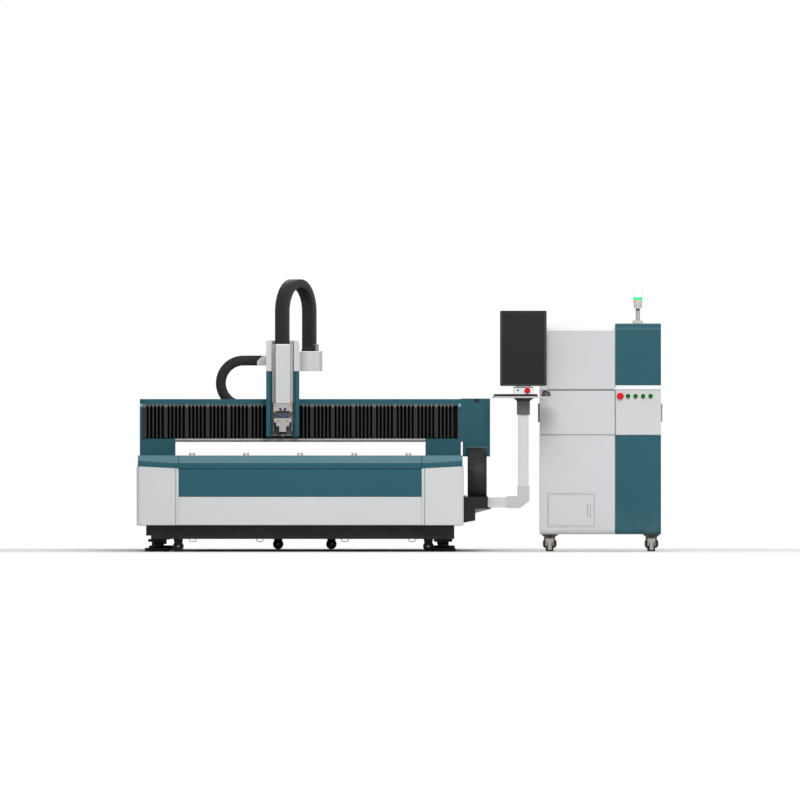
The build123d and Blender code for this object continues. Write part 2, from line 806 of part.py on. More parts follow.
# Cutting head: sliding plate and stepped optics body, with a cover and a copper nozzle
z_plate_play = 3
z_plate_width = carriage_width - column_width * 2 - z_plate_play * 2
z_plate = 16
z_plate_hang = 25           # sliding plate below the nozzle's seat
cover_width = 104
cover_depth = 92
cover_round = 10
cover_height = 414
cover_drop = 25             # cover top below the hood's top
cover_z1 = hood_top - cover_drop
cover_z0 = cover_z1 - cover_height
head_depth = 84
head_y = (plate_back - slide_gap - z_plate - head_depth, plate_back - slide_gap - z_plate)
head_drop = 201
nozzle_length = 36
nozzle_top = cover_z0 - head_drop
nozzle_tip = nozzle_top - nozzle_length
# Half widths of the optics body going down, as shares of the cover's width and of the drop to the nozzle
head_half_shares = (0.62, 0.62, 0.46, 0.46, 0.58, 0.58, 0.44, 0.44, 0.23, 0.23)
head_level_shares = (0.0, 0.31, 0.31, 0.52, 0.52, 0.67, 0.67, 0.80, 0.80, 1.0)

with BuildPart() as cutting_head:
    block(
        (carriage_x - z_plate_width / 2, carriage_x + z_plate_width / 2),
        (plate_back - slide_gap - z_plate, plate_back - slide_gap),
        (nozzle_top - z_plate_hang, column_top + sill_height),
    )
    with BuildSketch(facing(head_y[1])):
        with BuildLine():
            right = [
                (carriage_x + half * cover_width, cover_z0 - level * head_drop)
                for half, level in zip(head_half_shares, head_level_shares)
            ]
            left = [(2 * carriage_x - x, z) for x, z in reversed(right)]
            Polyline(*right, *left, close=True)
        make_face()
    extrude(amount=head_depth)
save(cutting_head.part, "cutting_head")

with BuildPart() as head_cover:
    with BuildSketch(Plane.XY.offset(cover_z0)):
        with Locations((carriage_x, head_y[1] - cover_depth / 2)):
            Rectangle(cover_width, cover_depth)
    extrude(amount=cover_z1 - cover_z0)
    fillet(head_cover.edges().filter_by(Axis.Z).group_by(Axis.Y)[0], cover_round)
    fillet(head_cover.faces().sort_by(Axis.Z)[-1].edges(), sheet)
save(head_cover.part, "head_cover")

nozzle_radius = 20
collar_share = 0.35
tip_radius = 5
nozzle_y = (head_y[0] + head_y[1]) / 2
with BuildPart() as nozzle:
    with BuildSketch(Plane.XZ.offset(-nozzle_y)) as nozzle_profile:
        with BuildLine():
            collar_z = nozzle_top - (nozzle_top - nozzle_tip) * collar_share
            Polyline(
                (carriage_x, nozzle_top),
                (carriage_x + nozzle_radius, nozzle_top),
                (carriage_x + nozzle_radius, collar_z),
                (carriage_x + tip_radius, nozzle_tip),
                (carriage_x, nozzle_tip),
                close=True,
            )
        make_face()
    revolve(axis=Axis((carriage_x, nozzle_y, nozzle_tip), (0, 0, 1)))
save(nozzle.part, "nozzle")

# Head chain: an arch from the cover back to the right-hand bracket
arch_turn = 61.6
arch_band = 65
arch_width = 76
arch_rise = 454             # top of the arch above the cover
arch_shift = 3
arch_top = cover_z1 + arch_rise
arch_left = carriage_x - arch_shift
arch_span = 188
arch_radius = arch_span / cos(radians(arch_turn)) / 2
arch_y = head_y[1] - cover_depth / 2
arch_plane = Plane(
    origin=(arch_left, arch_y, 0),
    x_dir=(cos(radians(arch_turn)), sin(radians(arch_turn)), 0),
    z_dir=(sin(radians(arch_turn)), -cos(radians(arch_turn)), 0),
)

with BuildPart() as z_chain:
    with BuildSketch(arch_plane):
        with BuildLine():
            outer_r = arch_radius + arch_band / 2
            inner_r = arch_radius - arch_band / 2
            mid = arch_radius
            spring_z = arch_top - outer_r
            right_foot = column_top + arm_height
            Line((mid - outer_r, cover_z1), (mid - outer_r, spring_z))
            ThreePointArc((mid - outer_r, spring_z), (mid, arch_top), (mid + outer_r, spring_z))
            Line((mid + outer_r, spring_z), (mid + outer_r, right_foot))
            Line((mid + outer_r, right_foot), (mid + inner_r, right_foot))
            Line((mid + inner_r, right_foot), (mid + inner_r, spring_z))
            ThreePointArc((mid + inner_r, spring_z), (mid, spring_z + inner_r), (mid - inner_r, spring_z))
            Line((mid - inner_r, spring_z), (mid - inner_r, cover_z1))
            Line((mid - inner_r, cover_z1), (mid - outer_r, cover_z1))
        make_face()
    extrude(amount=arch_width / 2, both=True)
save(z_chain.part, "z_chain")

# Console arm: a boom on a gusset, an elbow casting and an upright post
boom_size = 70
boom_lift = 6               # boom above the trough's floor
boom_z0 = trough_floor + boom_lift
elbow_size = 84
elbow_run = 117             # elbow to the left of the post axis
elbow_rise = 155
elbow_cut = 65
elbow_cut_rise = 50
post_size = 73
post_height = 654           # post top above the trough's floor
post_top = trough_floor + post_height
swivel_radius = 15
swivel_depth = 40
post_x = bed_right + post_reach
post_y = front_y + arm_setback
gusset_height = 33
gusset_sheet = 8
elbow_z0 = boom_z0 - (elbow_size - boom_size) / 3

with BuildPart() as arm_boom:
    block(
        (trough_x1, post_x - elbow_run),
        (post_y - boom_size / 2, post_y + boom_size / 2),
        (boom_z0, boom_z0 + boom_size),
    )
    with BuildSketch(facing(post_y + gusset_sheet / 2)):
        with BuildLine():
            Polyline(
                (trough_x0 + skirt_width, trough_floor),
                (trough_x1, trough_floor),
                (trough_x1, boom_z0),
                (trough_x1 + housing_notch * 2, boom_z0),
                (trough_x1 + housing_notch * 2, trough_floor - sheet),
                (trough_x0 + skirt_width, trough_floor - gusset_height),
                close=True,
            )
        make_face()
    extrude(amount=gusset_sheet)
save(arm_boom.part, "arm_boom")

with BuildPart() as arm_post:
    with BuildSketch(facing(post_y + elbow_size / 2)):
        with BuildLine():
            half_elbow = post_size / 2 + sheet * 2
            Polyline(
                (post_x - elbow_run, elbow_z0),
                (post_x + half_elbow - elbow_cut, elbow_z0),
                (post_x + half_elbow, elbow_z0 + elbow_cut_rise),
                (post_x + half_elbow, elbow_z0 + elbow_rise),
                (post_x - half_elbow, elbow_z0 + elbow_rise),
                (post_x - half_elbow, elbow_z0 + elbow_size),
                (post_x - elbow_run, elbow_z0 + elbow_size),
                close=True,
            )
        make_face()
    extrude(amount=elbow_size)
    with BuildSketch(Plane.XY.offset(elbow_z0 + elbow_rise)):
        with Locations((post_x, post_y)):
            RectangleRounded(post_size, post_size, sheet * 2)
    extrude(amount=post_top - elbow_z0 - elbow_rise)
    with Locations((post_x, post_y, post_top)):
        Hole(swivel_radius + pin_gap, swivel_depth + chain_play)
save(arm_post.part, "arm_post")

# Console: swivel coupling, tray, control box, monitor, keyboard and mouse
swivel_size = 91
swivel_height = 95
flare_height = 22
flare_taper = 45
tray_width_x = 441
tray_depth = 340
tray_sheet = 11
tray_left = 219             # tray to the left of the post axis
tray_round = 24
swivel_z0 = post_top + slide_gap
flare_z0 = swivel_z0 + swivel_height
tray_z0 = flare_z0 + flare_height
tray_z1 = tray_z0 + tray_sheet

with BuildPart() as console_swivel:
    with BuildSketch(Plane.XY.offset(swivel_z0)):
        with Locations((post_x, post_y)):
            RectangleRounded(swivel_size, swivel_size, sheet * 3)
    extrude(amount=swivel_height)
    with BuildSketch(Plane.XY.offset(flare_z0)):
        with Locations((post_x, post_y)):
            RectangleRounded(swivel_size, swivel_size, sheet * 3)
    extrude(amount=flare_height, taper=-flare_taper)
    with Locations((post_x, post_y, swivel_z0)):
        Cylinder(swivel_radius, swivel_depth, align=(Align.CENTER, Align.CENTER, Align.MAX))
save(console_swivel.part, "console_swivel")

tray_mid = post_x - tray_left + tray_width_x / 2
with BuildPart() as console_tray:
    with BuildSketch(Plane.XY.offset(tray_z0)):
        with Locations((tray_mid, post_y)):
            RectangleRounded(tray_width_x, tray_depth, tray_round)
    extrude(amount=tray_sheet)
    chamfer(console_tray.faces().sort_by(Axis.Z)[0].edges(), tray_sheet / 2)
save(console_tray.part, "console_tray")

box_width = 141
box_depth = 100
box_height = 70
box_back = post_y + tray_depth / 2 - tray_round
stop_radius = 20
stem = 11
stop_travel = 5
stop_head = 16
stop_reach = 22             # face of the stop button from its panel
console_stop_offset = 28
console_stop_share = 0.6    # height on the box
console_stop_x = post_x + console_stop_offset
console_stop_z = tray_z1 + box_height * console_stop_share
stem_pocket = 40

with BuildPart() as control_box:
    block(
        (post_x - box_width / 2, post_x + box_width / 2),
        (box_back - box_depth, box_back),
        (tray_z1, tray_z1 + box_height),
    )
    fillet(control_box.edges().filter_by(Axis.Z), sheet * 2)
    with BuildSketch(facing(box_back - box_depth + stem_pocket)):
        with Locations((console_stop_x, console_stop_z)):
            Circle(stem + pin_gap)
    extrude(amount=stem_pocket + overrun, mode=Mode.SUBTRACT)
save(control_box.part, "control_box")


def push_button(x, z, face_y, radius, reach, head):
    """A round push button that faces the viewer: a stem in its bore and a domed head."""
    stem_length = reach - head + stem_pocket - stop_travel * 2
    with BuildSketch(facing(face_y + stem_length - reach + head)) as stem_end:
        with Locations((x, z)):
            Circle(stem)
    extrude(stem_end.sketch, amount=stem_length)
    with BuildSketch(facing(face_y - reach + head)) as head_back:
        with Locations((x, z)):
            Circle(radius)
    extrude(head_back.sketch, amount=head)


with BuildPart() as console_stop_button:
    push_button(console_stop_x, console_stop_z, box_back - box_depth, stop_radius, stop_reach, stop_head)
    fillet(console_stop_button.faces().sort_by(Axis.Y)[0].edges(), stop_head / 3)
save(console_stop_button.part, "console_stop_button")

monitor_depth = 46
monitor_neck = 3
monitor_round = 9
bezel = 17
screen_recess = 2
monitor_z0 = tray_z1 + box_height + monitor_neck
monitor_y = (box_back - box_depth / 2 - monitor_depth / 2, box_back - box_depth / 2 + monitor_depth / 2)

with BuildPart() as monitor:
    with BuildSketch(facing(monitor_y[1])):
        with Locations((post_x, monitor_z0 + monitor_height / 2)):
            RectangleRounded(monitor_width, monitor_height, monitor_round)
    extrude(amount=monitor_depth)
    with BuildSketch(facing(monitor_y[0] + screen_recess)):
        with Locations((post_x, monitor_z0 + monitor_height / 2)):
            Rectangle(monitor_width - bezel * 2, monitor_height - bezel * 2)
    extrude(amount=screen_recess, mode=Mode.SUBTRACT)
    block(
        (post_x - box_width / 2 + bezel, post_x + box_width / 2 - bezel),
        (monitor_y[0] + bezel / 2, monitor_y[1] - bezel / 2),
        (tray_z1 + box_height, monitor_z0),
    )
save(monitor.part, "monitor")

keyboard_width = 308
keyboard_depth = 118
keyboard_front = 7
keyboard_back = 16
desk_front = post_y - tray_depth / 2 + tray_round
keyboard_x0 = post_x - tray_left + tray_sheet

with BuildPart() as keyboard:
    with BuildSketch(Plane.YZ.offset(keyboard_x0)):
        with BuildLine():
            Polyline(
                (desk_front, tray_z1),
                (desk_front, tray_z1 + keyboard_front),
                (desk_front + keyboard_depth, tray_z1 + keyboard_back),
                (desk_front + keyboard_depth, tray_z1),
                close=True,
            )
        make_face()
    extrude(amount=keyboard_width)
    fillet(keyboard.edges().filter_by(Axis.Z), sheet)
save(keyboard.part, "keyboard")

mouse_width = 70
mouse_length = 108
mouse_height = 37
mouse_crown_share = 0.45
mouse_x = keyboard_x0 + keyboard_width + mouse_width / 2 + tray_sheet * 2
mouse_y = desk_front + mouse_length / 2

with BuildPart() as mouse:
    with BuildSketch(Plane.XY.offset(tray_z1)):
        with Locations((mouse_x, mouse_y)):
            Ellipse(mouse_width / 2, mouse_length / 2)
    extrude(amount=mouse_height)
    fillet(mouse.faces().sort_by(Axis.Z)[-1].edges(), mouse_height * mouse_crown_share)
save(mouse.part, "mouse")

# Control cabinet: a body with rounded front edges, clad in separate panels
cab_castor_height = 120
panel_sheet = 18
cab_round = 50
foot_round = 40             # rolled lower edge
seam = 4
left_bay = 526              # width of the grey bay
side_frame = 56             # white frame beside the upper grey panel
upper_z0_rise = 1013        # upper seam above the cabinet's underside
strip_height = 31           # white strip under the teal panel
lower_rise = 695            # middle seam above the underside
cab_z0 = cab_castor_height
cab_z1 = cab_z0 + cabinet_height
cab_face = cabinet_y0 + panel_sheet
seam_x = cabinet_x0 + left_bay
upper_z0 = cab_z0 + upper_z0_rise
middle_z0 = cab_z0 + lower_rise

door_width = 321
door_height = 214
door_left = 58
door_rise = 61
hinge_pin = 2.5             # door pivots in the panel above and below
hinge_inset = 4             # pivot axis from the door's edge and face
hinge_length = 7
door_gap = 1.5
recess_margin = 10
recess_depth = 90
door_x0 = cabinet_x0 + door_left
door_x1 = door_x0 + door_width
door_z = (cab_z0 + door_rise, cab_z0 + door_rise + door_height)

handle_low = 787
handle_length = 129
handle_width = 40
handle_bar = 6
castor_pin = 10
pin_length = 24
castor_margins = (69, 66)   # castor pins from the left and right sides
castor_margin_y = 90
front_castor_x = (cabinet_x0 + castor_margins[0], cabinet_x1 - castor_margins[1])
front_castor_y = cabinet_y0 + castor_margin_y
rear_castor_y = cabinet_y1 - castor_margin_y

button_radius = 15.5
button_reach = 17
button_head = 10
cabinet_stop_radius = 24
button_level = 273          # button row above the middle seam
first_button = 91
button_pitch = 52.7
cabinet_stop_offset = 37
start_count = 4
button_z = middle_z0 + button_level
cabinet_stop_x = seam_x + cabinet_stop_offset
start_xs = [seam_x + first_button + i * button_pitch for i in range(start_count)]

with BuildPart() as cabinet_body:
    with BuildSketch(Plane.YZ.offset(cabinet_x0)) as body_section:
        with BuildLine():
            Polyline(
                (cabinet_y1, cab_z0),
                (cabinet_y0 + foot_round, cab_z0),
                (cabinet_y0 + foot_round, cab_z0 + foot_round),
                (cab_face, cab_z0 + foot_round),
                (cab_face, cab_z1),
                (cabinet_y1, cab_z1),
                close=True,
            )
        make_face()
        fillet(body_section.vertices().group_by(Axis.Y)[-1].sort_by(Axis.X)[0], cab_round - panel_sheet)
    extrude(amount=cabinet_width)
    block(
        (seam_x, cabinet_x1 + overrun),
        (cab_face - overrun, cabinet_y0 + cab_round),
        (cab_z1 - cab_round, cab_z1 + overrun),
        mode=Mode.SUBTRACT,
    )
    block(
        (door_x0 + recess_margin, door_x1 - recess_margin),
        (cab_face - overrun, cab_face + recess_depth),
        (door_z[0] + recess_margin, door_z[1] - recess_margin),
        mode=Mode.SUBTRACT,
    )
    with BuildSketch(facing(cab_face + stem_pocket)):
        with Locations(*[(x, button_z) for x in (cabinet_stop_x, *start_xs)]):
            Circle(stem + castor_side_gap)
    extrude(amount=stem_pocket + overrun, mode=Mode.SUBTRACT)
    handle_z = cab_z0 + handle_low
    handle_mid = (cabinet_y0 + cabinet_y1) / 2
    for side_x, reach in ((cabinet_x0, -handle_reach), (cabinet_x1, handle_reach)):
        with BuildSketch(Plane.YZ.offset(side_x)):
            with Locations((handle_mid, handle_z + handle_length / 2)):
                RectangleRounded(handle_width, handle_length, handle_bar)
                Rectangle(handle_width - handle_bar * 2, handle_length - handle_bar * 4, mode=Mode.SUBTRACT)
        extrude(amount=reach)
    with BuildSketch(Plane.XY.offset(cab_z0)):
        with Locations(*[(x, front_castor_y) for x in front_castor_x]):
            Circle(castor_pin + pin_gap)
    extrude(amount=pin_length + sheet, mode=Mode.SUBTRACT)
save(cabinet_body.part, "cabinet_body")


def clad(x0, x1, z0, z1):
    """A flat cladding panel on the cabinet's face, with softened edges."""
    with BuildSketch(facing(cab_face)) as outline:
        with Locations(((x0 + x1) / 2, (z0 + z1) / 2)):
            Rectangle(x1 - x0, z1 - z0)
    extrude(outline.sketch, amount=panel_sheet)


def skirted_panel(x0, x1, z1):
    """A lower cladding panel whose bottom edge rolls under the body."""
    with BuildSketch(Plane.YZ.offset(x0)) as section:
        with BuildLine():
            Polyline(
                (cabinet_y0, z1),
                (cabinet_y0, cab_z0),
                (cabinet_y0 + foot_round, cab_z0),
                (cabinet_y0 + foot_round, cab_z0 + foot_round),
                (cab_face, cab_z0 + foot_round),
                (cab_face, z1),
                close=True,
            )
        make_face()
        fillet(section.vertices().group_by(Axis.Y)[0].sort_by(Axis.X)[0], foot_round - sheet)
    extrude(section.sketch, amount=x1 - x0)


with BuildPart() as cabinet_grey_panels:
    clad(cabinet_x0 + side_frame, seam_x - seam, upper_z0 + seam, cab_z1 - cab_round)
    clad(cabinet_x0, seam_x - seam / 2, middle_z0 + seam / 2, upper_z0 - seam / 2)
    skirted_panel(cabinet_x0, seam_x - seam / 2, middle_z0 - seam / 2)
    block(
        (door_x0 - door_gap, door_x1 + door_gap),
        (cabinet_y0 - overrun, cab_face + slide_gap),
        (door_z[0] - door_gap, door_z[1] + door_gap),
        mode=Mode.SUBTRACT,
    )
    hinge_low = door_z[0] - door_gap - hinge_length
    hinge_span = door_z[1] - door_z[0] + (door_gap + hinge_length) * 2
    with Locations((door_x0 + hinge_inset, cabinet_y0 + hinge_inset, hinge_low + hinge_span / 2)):
        Cylinder(hinge_pin + pin_gap, hinge_span + door_gap * 2, mode=Mode.SUBTRACT)
save(cabinet_grey_panels.part, "cabinet_grey_panels")

with BuildPart() as cabinet_accent_panels:
    skirted_panel(seam_x + seam / 2, cabinet_x1, middle_z0 - seam / 2)
    with BuildSketch(Plane.YZ.offset(seam_x + seam / 2)) as top_section:
        with BuildLine():
            top_z0 = upper_z0 + strip_height
            Polyline(
                (cabinet_y0, top_z0),
                (cabinet_y0, cab_z1),
                (cabinet_y0 + cab_round, cab_z1),
                (cabinet_y0 + cab_round, cab_z1 - cab_round),
                (cab_face, cab_z1 - cab_round),
                (cab_face, top_z0),
                close=True,
            )
        make_face()
        fillet(top_section.vertices().group_by(Axis.Y)[-1].sort_by(Axis.X)[0], cab_round - sheet)
    extrude(amount=cabinet_x1 - seam_x - seam / 2)
save(cabinet_accent_panels.part, "cabinet_accent_panels")

# Button panel with its stop button and four start buttons
with BuildPart() as button_panel:
    clad(seam_x + seam / 2, cabinet_x1, middle_z0 + seam / 2, upper_z0 - seam / 2)
    with BuildSketch(facing(cab_face + overrun)):
        with Locations(*[(x, button_z) for x in (cabinet_stop_x, *start_xs)]):
            Circle(stem + pin_gap)
    extrude(amount=panel_sheet + overrun * 2, mode=Mode.SUBTRACT)
save(button_panel.part, "button_panel")

# Access door in the lower grey panel, with a recessed grip
door_sheet = 8
grip_width = 22
grip_height = 88
grip_depth = 4
grip_inset = 25

with BuildPart() as access_door:
    block((door_x0, door_x1), (cabinet_y0, cabinet_y0 + door_sheet), door_z)
    fillet(access_door.edges().filter_by(Axis.Z).group_by(Axis.X)[0], hinge_inset - pin_gap)
    with Locations((door_x0 + hinge_inset, cabinet_y0 + hinge_inset, hinge_low + hinge_span / 2)):
        Cylinder(hinge_pin, hinge_span)
    with BuildSketch(facing(cabinet_y0 + grip_depth)):
        with Locations((door_x1 - grip_inset - grip_width / 2, sum(door_z) / 2)):
            SlotOverall(grip_height, grip_width, rotation=90)
    extrude(amount=grip_depth, mode=Mode.SUBTRACT)
save(access_door.part, "access_door")

# Signal tower on the cabinet's roof
tower_inset = 161
tower_setback = 200
tower_x = cabinet_x1 - tower_inset
tower_y = cabinet_y0 + tower_setback
tower_base = 36.5
tower_base_height = 21
pole_radius = 15
pole_height = 84
lamp_radius = 33
lamp_height = 139
lamp_cap = 6

with BuildPart() as tower_stand:
    with Locations((tower_x, tower_y, cab_z1)):
        Cylinder(tower_base, tower_base_height, align=(Align.CENTER, Align.CENTER, Align.MIN))
        Cylinder(pole_radius, tower_base_height + pole_height, align=(Align.CENTER, Align.CENTER, Align.MIN))
save(tower_stand.part, "tower_stand")

with BuildPart() as tower_lamp:
    with Locations((tower_x, tower_y, cab_z1 + tower_base_height + pole_height)):
        Cylinder(lamp_radius, lamp_height, align=(Align.CENTER, Align.CENTER, Align.MIN))
    fillet(tower_lamp.faces().sort_by(Axis.Z)[-1].edges(), lamp_cap)
save(tower_lamp.part, "tower_lamp")

# Cabinet castors: two swivelling in front, two rigid behind
cab_wheel = 37
cab_wheel_width = 52
fork_cheek = 9
fork_top = 92
fork_plate = 12
cab_trail = 22
cab_axle = 7
fork_half = cab_wheel_width / 2 + castor_side_gap + fork_cheek
fork_length = 64


def castor_fork(x, y, trail, swivel):
    """A fork over a wheel that rolls along Y, with its axle and, where it swivels, a king pin."""
    top = cab_z0 - (slide_gap if swivel else 0)
    for side in (-1, 1):
        cheek_x = x + side * (fork_half - fork_cheek / 2)
        with BuildSketch(Plane.YZ.offset(cheek_x - fork_cheek / 2)) as cheek:
            with BuildLine():
                Polyline(
                    (y - fork_length / 2, top - fork_plate),
                    (y + trail - cab_axle * 2, cab_wheel - cab_axle * 2),
                    (y + trail + cab_axle * 2, cab_wheel - cab_axle * 2),
                    (y + fork_length / 2, top - fork_plate),
                    close=True,
                )
            make_face()
        extrude(cheek.sketch, amount=fork_cheek)
    block(
        (x - fork_half, x + fork_half),
        (y - fork_length / 2, y + fork_length / 2),
        (cab_wheel * 2 + castor_crown, top - fork_plate),
    )
    with BuildSketch(Plane.XY.offset(top)) as plate:
        with Locations((x, y)):
            RectangleRounded(fork_top, fork_top, sheet * 2)
    extrude(plate.sketch, amount=-fork_plate)
    with BuildSketch(Plane.YZ.offset(x - fork_half)) as axle:
        with Locations((y + trail, cab_wheel)):
            Circle(cab_axle)
    extrude(axle.sketch, amount=fork_half * 2)
    if swivel:
        with Locations((x, y, top)):
            Cylinder(castor_pin, pin_length, align=(Align.CENTER, Align.CENTER, Align.MIN))


def castor_wheel(x, y):
    """A round-shouldered wheel with its axle along X."""
    with BuildSketch(Plane.YZ.offset(x - cab_wheel_width / 2)) as tread:
        with Locations((y, cab_wheel)):
            Circle(cab_wheel)
            Circle(cab_axle + pin_gap, mode=Mode.SUBTRACT)
    extrude(tread.sketch, amount=cab_wheel_width)


for name, x in zip(("left", "right"), front_castor_x):
    with BuildPart() as front_fork:
        castor_fork(x, front_castor_y, cab_trail, True)
    save(front_fork.part, f"castor_fork_{name}")

with BuildPart() as rear_castor_forks:
    for x in front_castor_x:
        castor_fork(x, rear_castor_y, cab_trail, False)
save(rear_castor_forks.part, "rear_castor_forks")

for row, y in (("castor_wheel", front_castor_y), ("rear_castor_wheel", rear_castor_y)):
    for name, x in zip(("left", "right"), front_castor_x):
        with BuildPart() as cab_castor_wheel:
            castor_wheel(x, y + cab_trail)
            rims = cab_castor_wheel.edges().filter_by(GeomType.CIRCLE).sort_by(SortBy.RADIUS)[-2:]
            fillet(rims, tread_round)
        save(cab_castor_wheel.part, f"{row}_{name}")

with BuildPart() as cabinet_stop_button:
    push_button(cabinet_stop_x, button_z, cabinet_y0, cabinet_stop_radius, stop_reach, stop_head)
    fillet(cabinet_stop_button.faces().sort_by(Axis.Y)[0].edges(), stop_head / 3)
save(cabinet_stop_button.part, "cabinet_stop_button")

for index, x in enumerate(start_xs, start=1):
    with BuildPart() as start_button:
        push_button(x, button_z, cabinet_y0, button_radius, button_reach, button_head)
        fillet(start_button.faces().sort_by(Axis.Y)[0].edges(), sheet)
    save(start_button.part, f"start_button_{index}")
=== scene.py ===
# %% [markdown]
# # A laser cutting machine for sheet metal
# The machine is an open bed with a gantry, a console on an arm and a cabinet on castors.
# Its solids come from CAD in metres, so this lesson never moves them. It gives each of them
# a finish, replaces the few that need links or pleats, and adds small pieces such as keys.

# %% Load the frame
import math

import bmesh
import bpy
from mathutils import Matrix, Vector


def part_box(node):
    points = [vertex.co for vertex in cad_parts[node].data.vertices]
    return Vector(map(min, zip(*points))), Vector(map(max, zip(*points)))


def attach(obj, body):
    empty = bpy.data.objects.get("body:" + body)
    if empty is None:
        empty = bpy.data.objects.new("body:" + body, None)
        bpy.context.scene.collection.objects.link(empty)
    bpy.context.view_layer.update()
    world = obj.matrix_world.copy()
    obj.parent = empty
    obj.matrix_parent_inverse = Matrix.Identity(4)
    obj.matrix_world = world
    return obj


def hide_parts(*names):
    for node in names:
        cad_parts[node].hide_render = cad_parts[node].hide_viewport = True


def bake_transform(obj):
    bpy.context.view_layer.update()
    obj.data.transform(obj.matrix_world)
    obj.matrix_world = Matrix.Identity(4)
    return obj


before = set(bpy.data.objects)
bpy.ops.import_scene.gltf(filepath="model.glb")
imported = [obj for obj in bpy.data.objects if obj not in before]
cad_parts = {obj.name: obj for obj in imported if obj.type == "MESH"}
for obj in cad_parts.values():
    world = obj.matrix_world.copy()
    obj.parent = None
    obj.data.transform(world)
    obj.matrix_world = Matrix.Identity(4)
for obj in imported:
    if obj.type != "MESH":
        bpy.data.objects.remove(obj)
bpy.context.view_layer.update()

# %% [markdown]
# ## Camera and light
# The photograph is a straight front view from very far away, so the camera stands far off with
# a long lens. An orthographic camera would give the same picture, but it would crop other views.

# %% Camera
PIXEL = 0.007
PICTURE_PIXELS = 800
MIDDLE = PICTURE_PIXELS / 2
GROUND_ROW = 551.5
PICTURE = PICTURE_PIXELS * PIXEL
VIEW_HEIGHT = (GROUND_ROW - MIDDLE) * PIXEL
VIEW_DISTANCE = 240.0
SCALE_PLANE = -1.6
SENSOR = 36.0
CLIP_FAR = 2000.0

scene = bpy.context.scene
camera_data = bpy.data.cameras.new("front_camera")
camera_data.sensor_width = SENSOR
camera_data.lens = SENSOR * VIEW_DISTANCE / PICTURE
camera_data.clip_end = CLIP_FAR
camera = bpy.data.objects.new("front_camera", camera_data)
scene.collection.objects.link(camera)
camera.location = (0.0, SCALE_PLANE - VIEW_DISTANCE, VIEW_HEIGHT)
camera.rotation_euler = (math.radians(90), 0.0, 0.0)
scene.camera = camera
scene.view_settings.view_transform = "Standard"


def at_pixel(column, row):
    """X and Z in metres of a point that the photograph shows at this pixel."""
    return (column - MIDDLE) * PIXEL, (GROUND_ROW - row) * PIXEL


print("lens", round(camera_data.lens), "mm")

# %% [markdown]
# Wide lamps shape the forms: one from above and in front, a weaker one from the right, one
# overhead and one from behind. The floor is a disc.

# %% Lamps and floor


def lamp(name, stand, aim, width, height, power):
    """A wide area lamp that points at a spot."""
    data = bpy.data.lights.new(name, "AREA")
    data.shape = "RECTANGLE"
    data.size = width
    data.size_y = height
    data.energy = power
    made = bpy.data.objects.new(name, data)
    scene.collection.objects.link(made)
    made.location = stand
    made.rotation_euler = (Vector(aim) - Vector(stand)).to_track_quat("-Z", "Y").to_euler()
    return made


lamp("key_lamp", (1.8, -10.0, 6.5), (0.0, -1.5, 0.8), 4.0, 4.0, 535.0)
lamp("side_lamp", (8.0, -6.0, 3.5), (0.0, -1.5, 0.9), 4.0, 4.0, 40.0)
lamp("top_lamp", (0.0, 0.0, 8.0), (0.0, 0.0, 0.0), 8.0, 8.0, 50.0)
lamp("back_lamp", (0.0, 6.0, 6.0), (0.0, -1.5, 0.6), 8.0, 3.0, 110.0)

FLOOR_RADIUS = 5.0
floor_mesh = bpy.data.meshes.new("floor")
floor_form = bmesh.new()
bmesh.ops.create_circle(floor_form, cap_ends=True, radius=FLOOR_RADIUS, segments=96)
floor_form.to_mesh(floor_mesh)
floor_form.free()
floor = bpy.data.objects.new("floor", floor_mesh)
scene.collection.objects.link(floor)
print("floor radius", FLOOR_RADIUS)

# %% [markdown]
# ## Node trees
# Finishes, the world and repeated shapes are all node trees. These helpers make a node, feed it
# and hand back its output, so that a tree reads like a line of sums.

# %% Helpers for node trees


def linear(red, green, blue):
    """A colour as it is read off a picture, in the linear values that shaders use."""
    out = []
    for level in (red, green, blue):
        level = level / 255.0
        out.append(level / 12.92 if level <= 0.04045 else ((level + 0.055) / 1.055) ** 2.4)
    return (*out, 1.0)


def add_node(tree, kind, **settings):
    """A new node with some of its settings."""
    made = tree.nodes.new(kind)
    for name, value in settings.items():
        setattr(made, name, value)
    return made


def feed(tree, source, target):
    """Link a socket to a socket, or set a plain value."""
    if isinstance(source, bpy.types.NodeSocket):
        tree.links.new(source, target)
    else:
        target.default_value = source


def wire(tree, kind, inputs, **settings):
    """A node with its inputs fed by name or position, given back as a node."""
    made = add_node(tree, kind, **settings)
    for label, value in inputs.items():
        feed(tree, value, made.inputs[label])
    return made


def flow(tree, kind, inputs, **settings):
    """The same, given back as the node's first output."""
    return wire(tree, kind, inputs, **settings).outputs[0]


def sums(tree, operation, *values):
    """A Math node with its inputs."""
    return flow(tree, "ShaderNodeMath", dict(enumerate(values)), operation=operation)


def vector(tree, *values):
    """A vector put together from X, Y and Z."""
    return flow(tree, "ShaderNodeCombineXYZ", dict(enumerate(values)))


def axes(tree, source):
    """X, Y and Z of a vector."""
    return wire(tree, "ShaderNodeSeparateXYZ", {0: source}).outputs


def place(tree):
    """The place on the piece, as a coordinate."""
    return add_node(tree, "ShaderNodeTexCoord").outputs["Object"]


def seen_share(tree):
    """1 where the camera, a reflection or a clear part looks, and 0 for light that falls."""
    ray = add_node(tree, "ShaderNodeLightPath").outputs
    share = sums(tree, "MAXIMUM", ray["Is Camera Ray"], ray["Is Glossy Ray"])
    return sums(tree, "MAXIMUM", share, ray["Is Transmission Ray"])


def mix_shaders(tree, share, first, second):
    """Two shaders, mixed by a share."""
    return flow(tree, "ShaderNodeMixShader", {0: share, 1: first, 2: second})


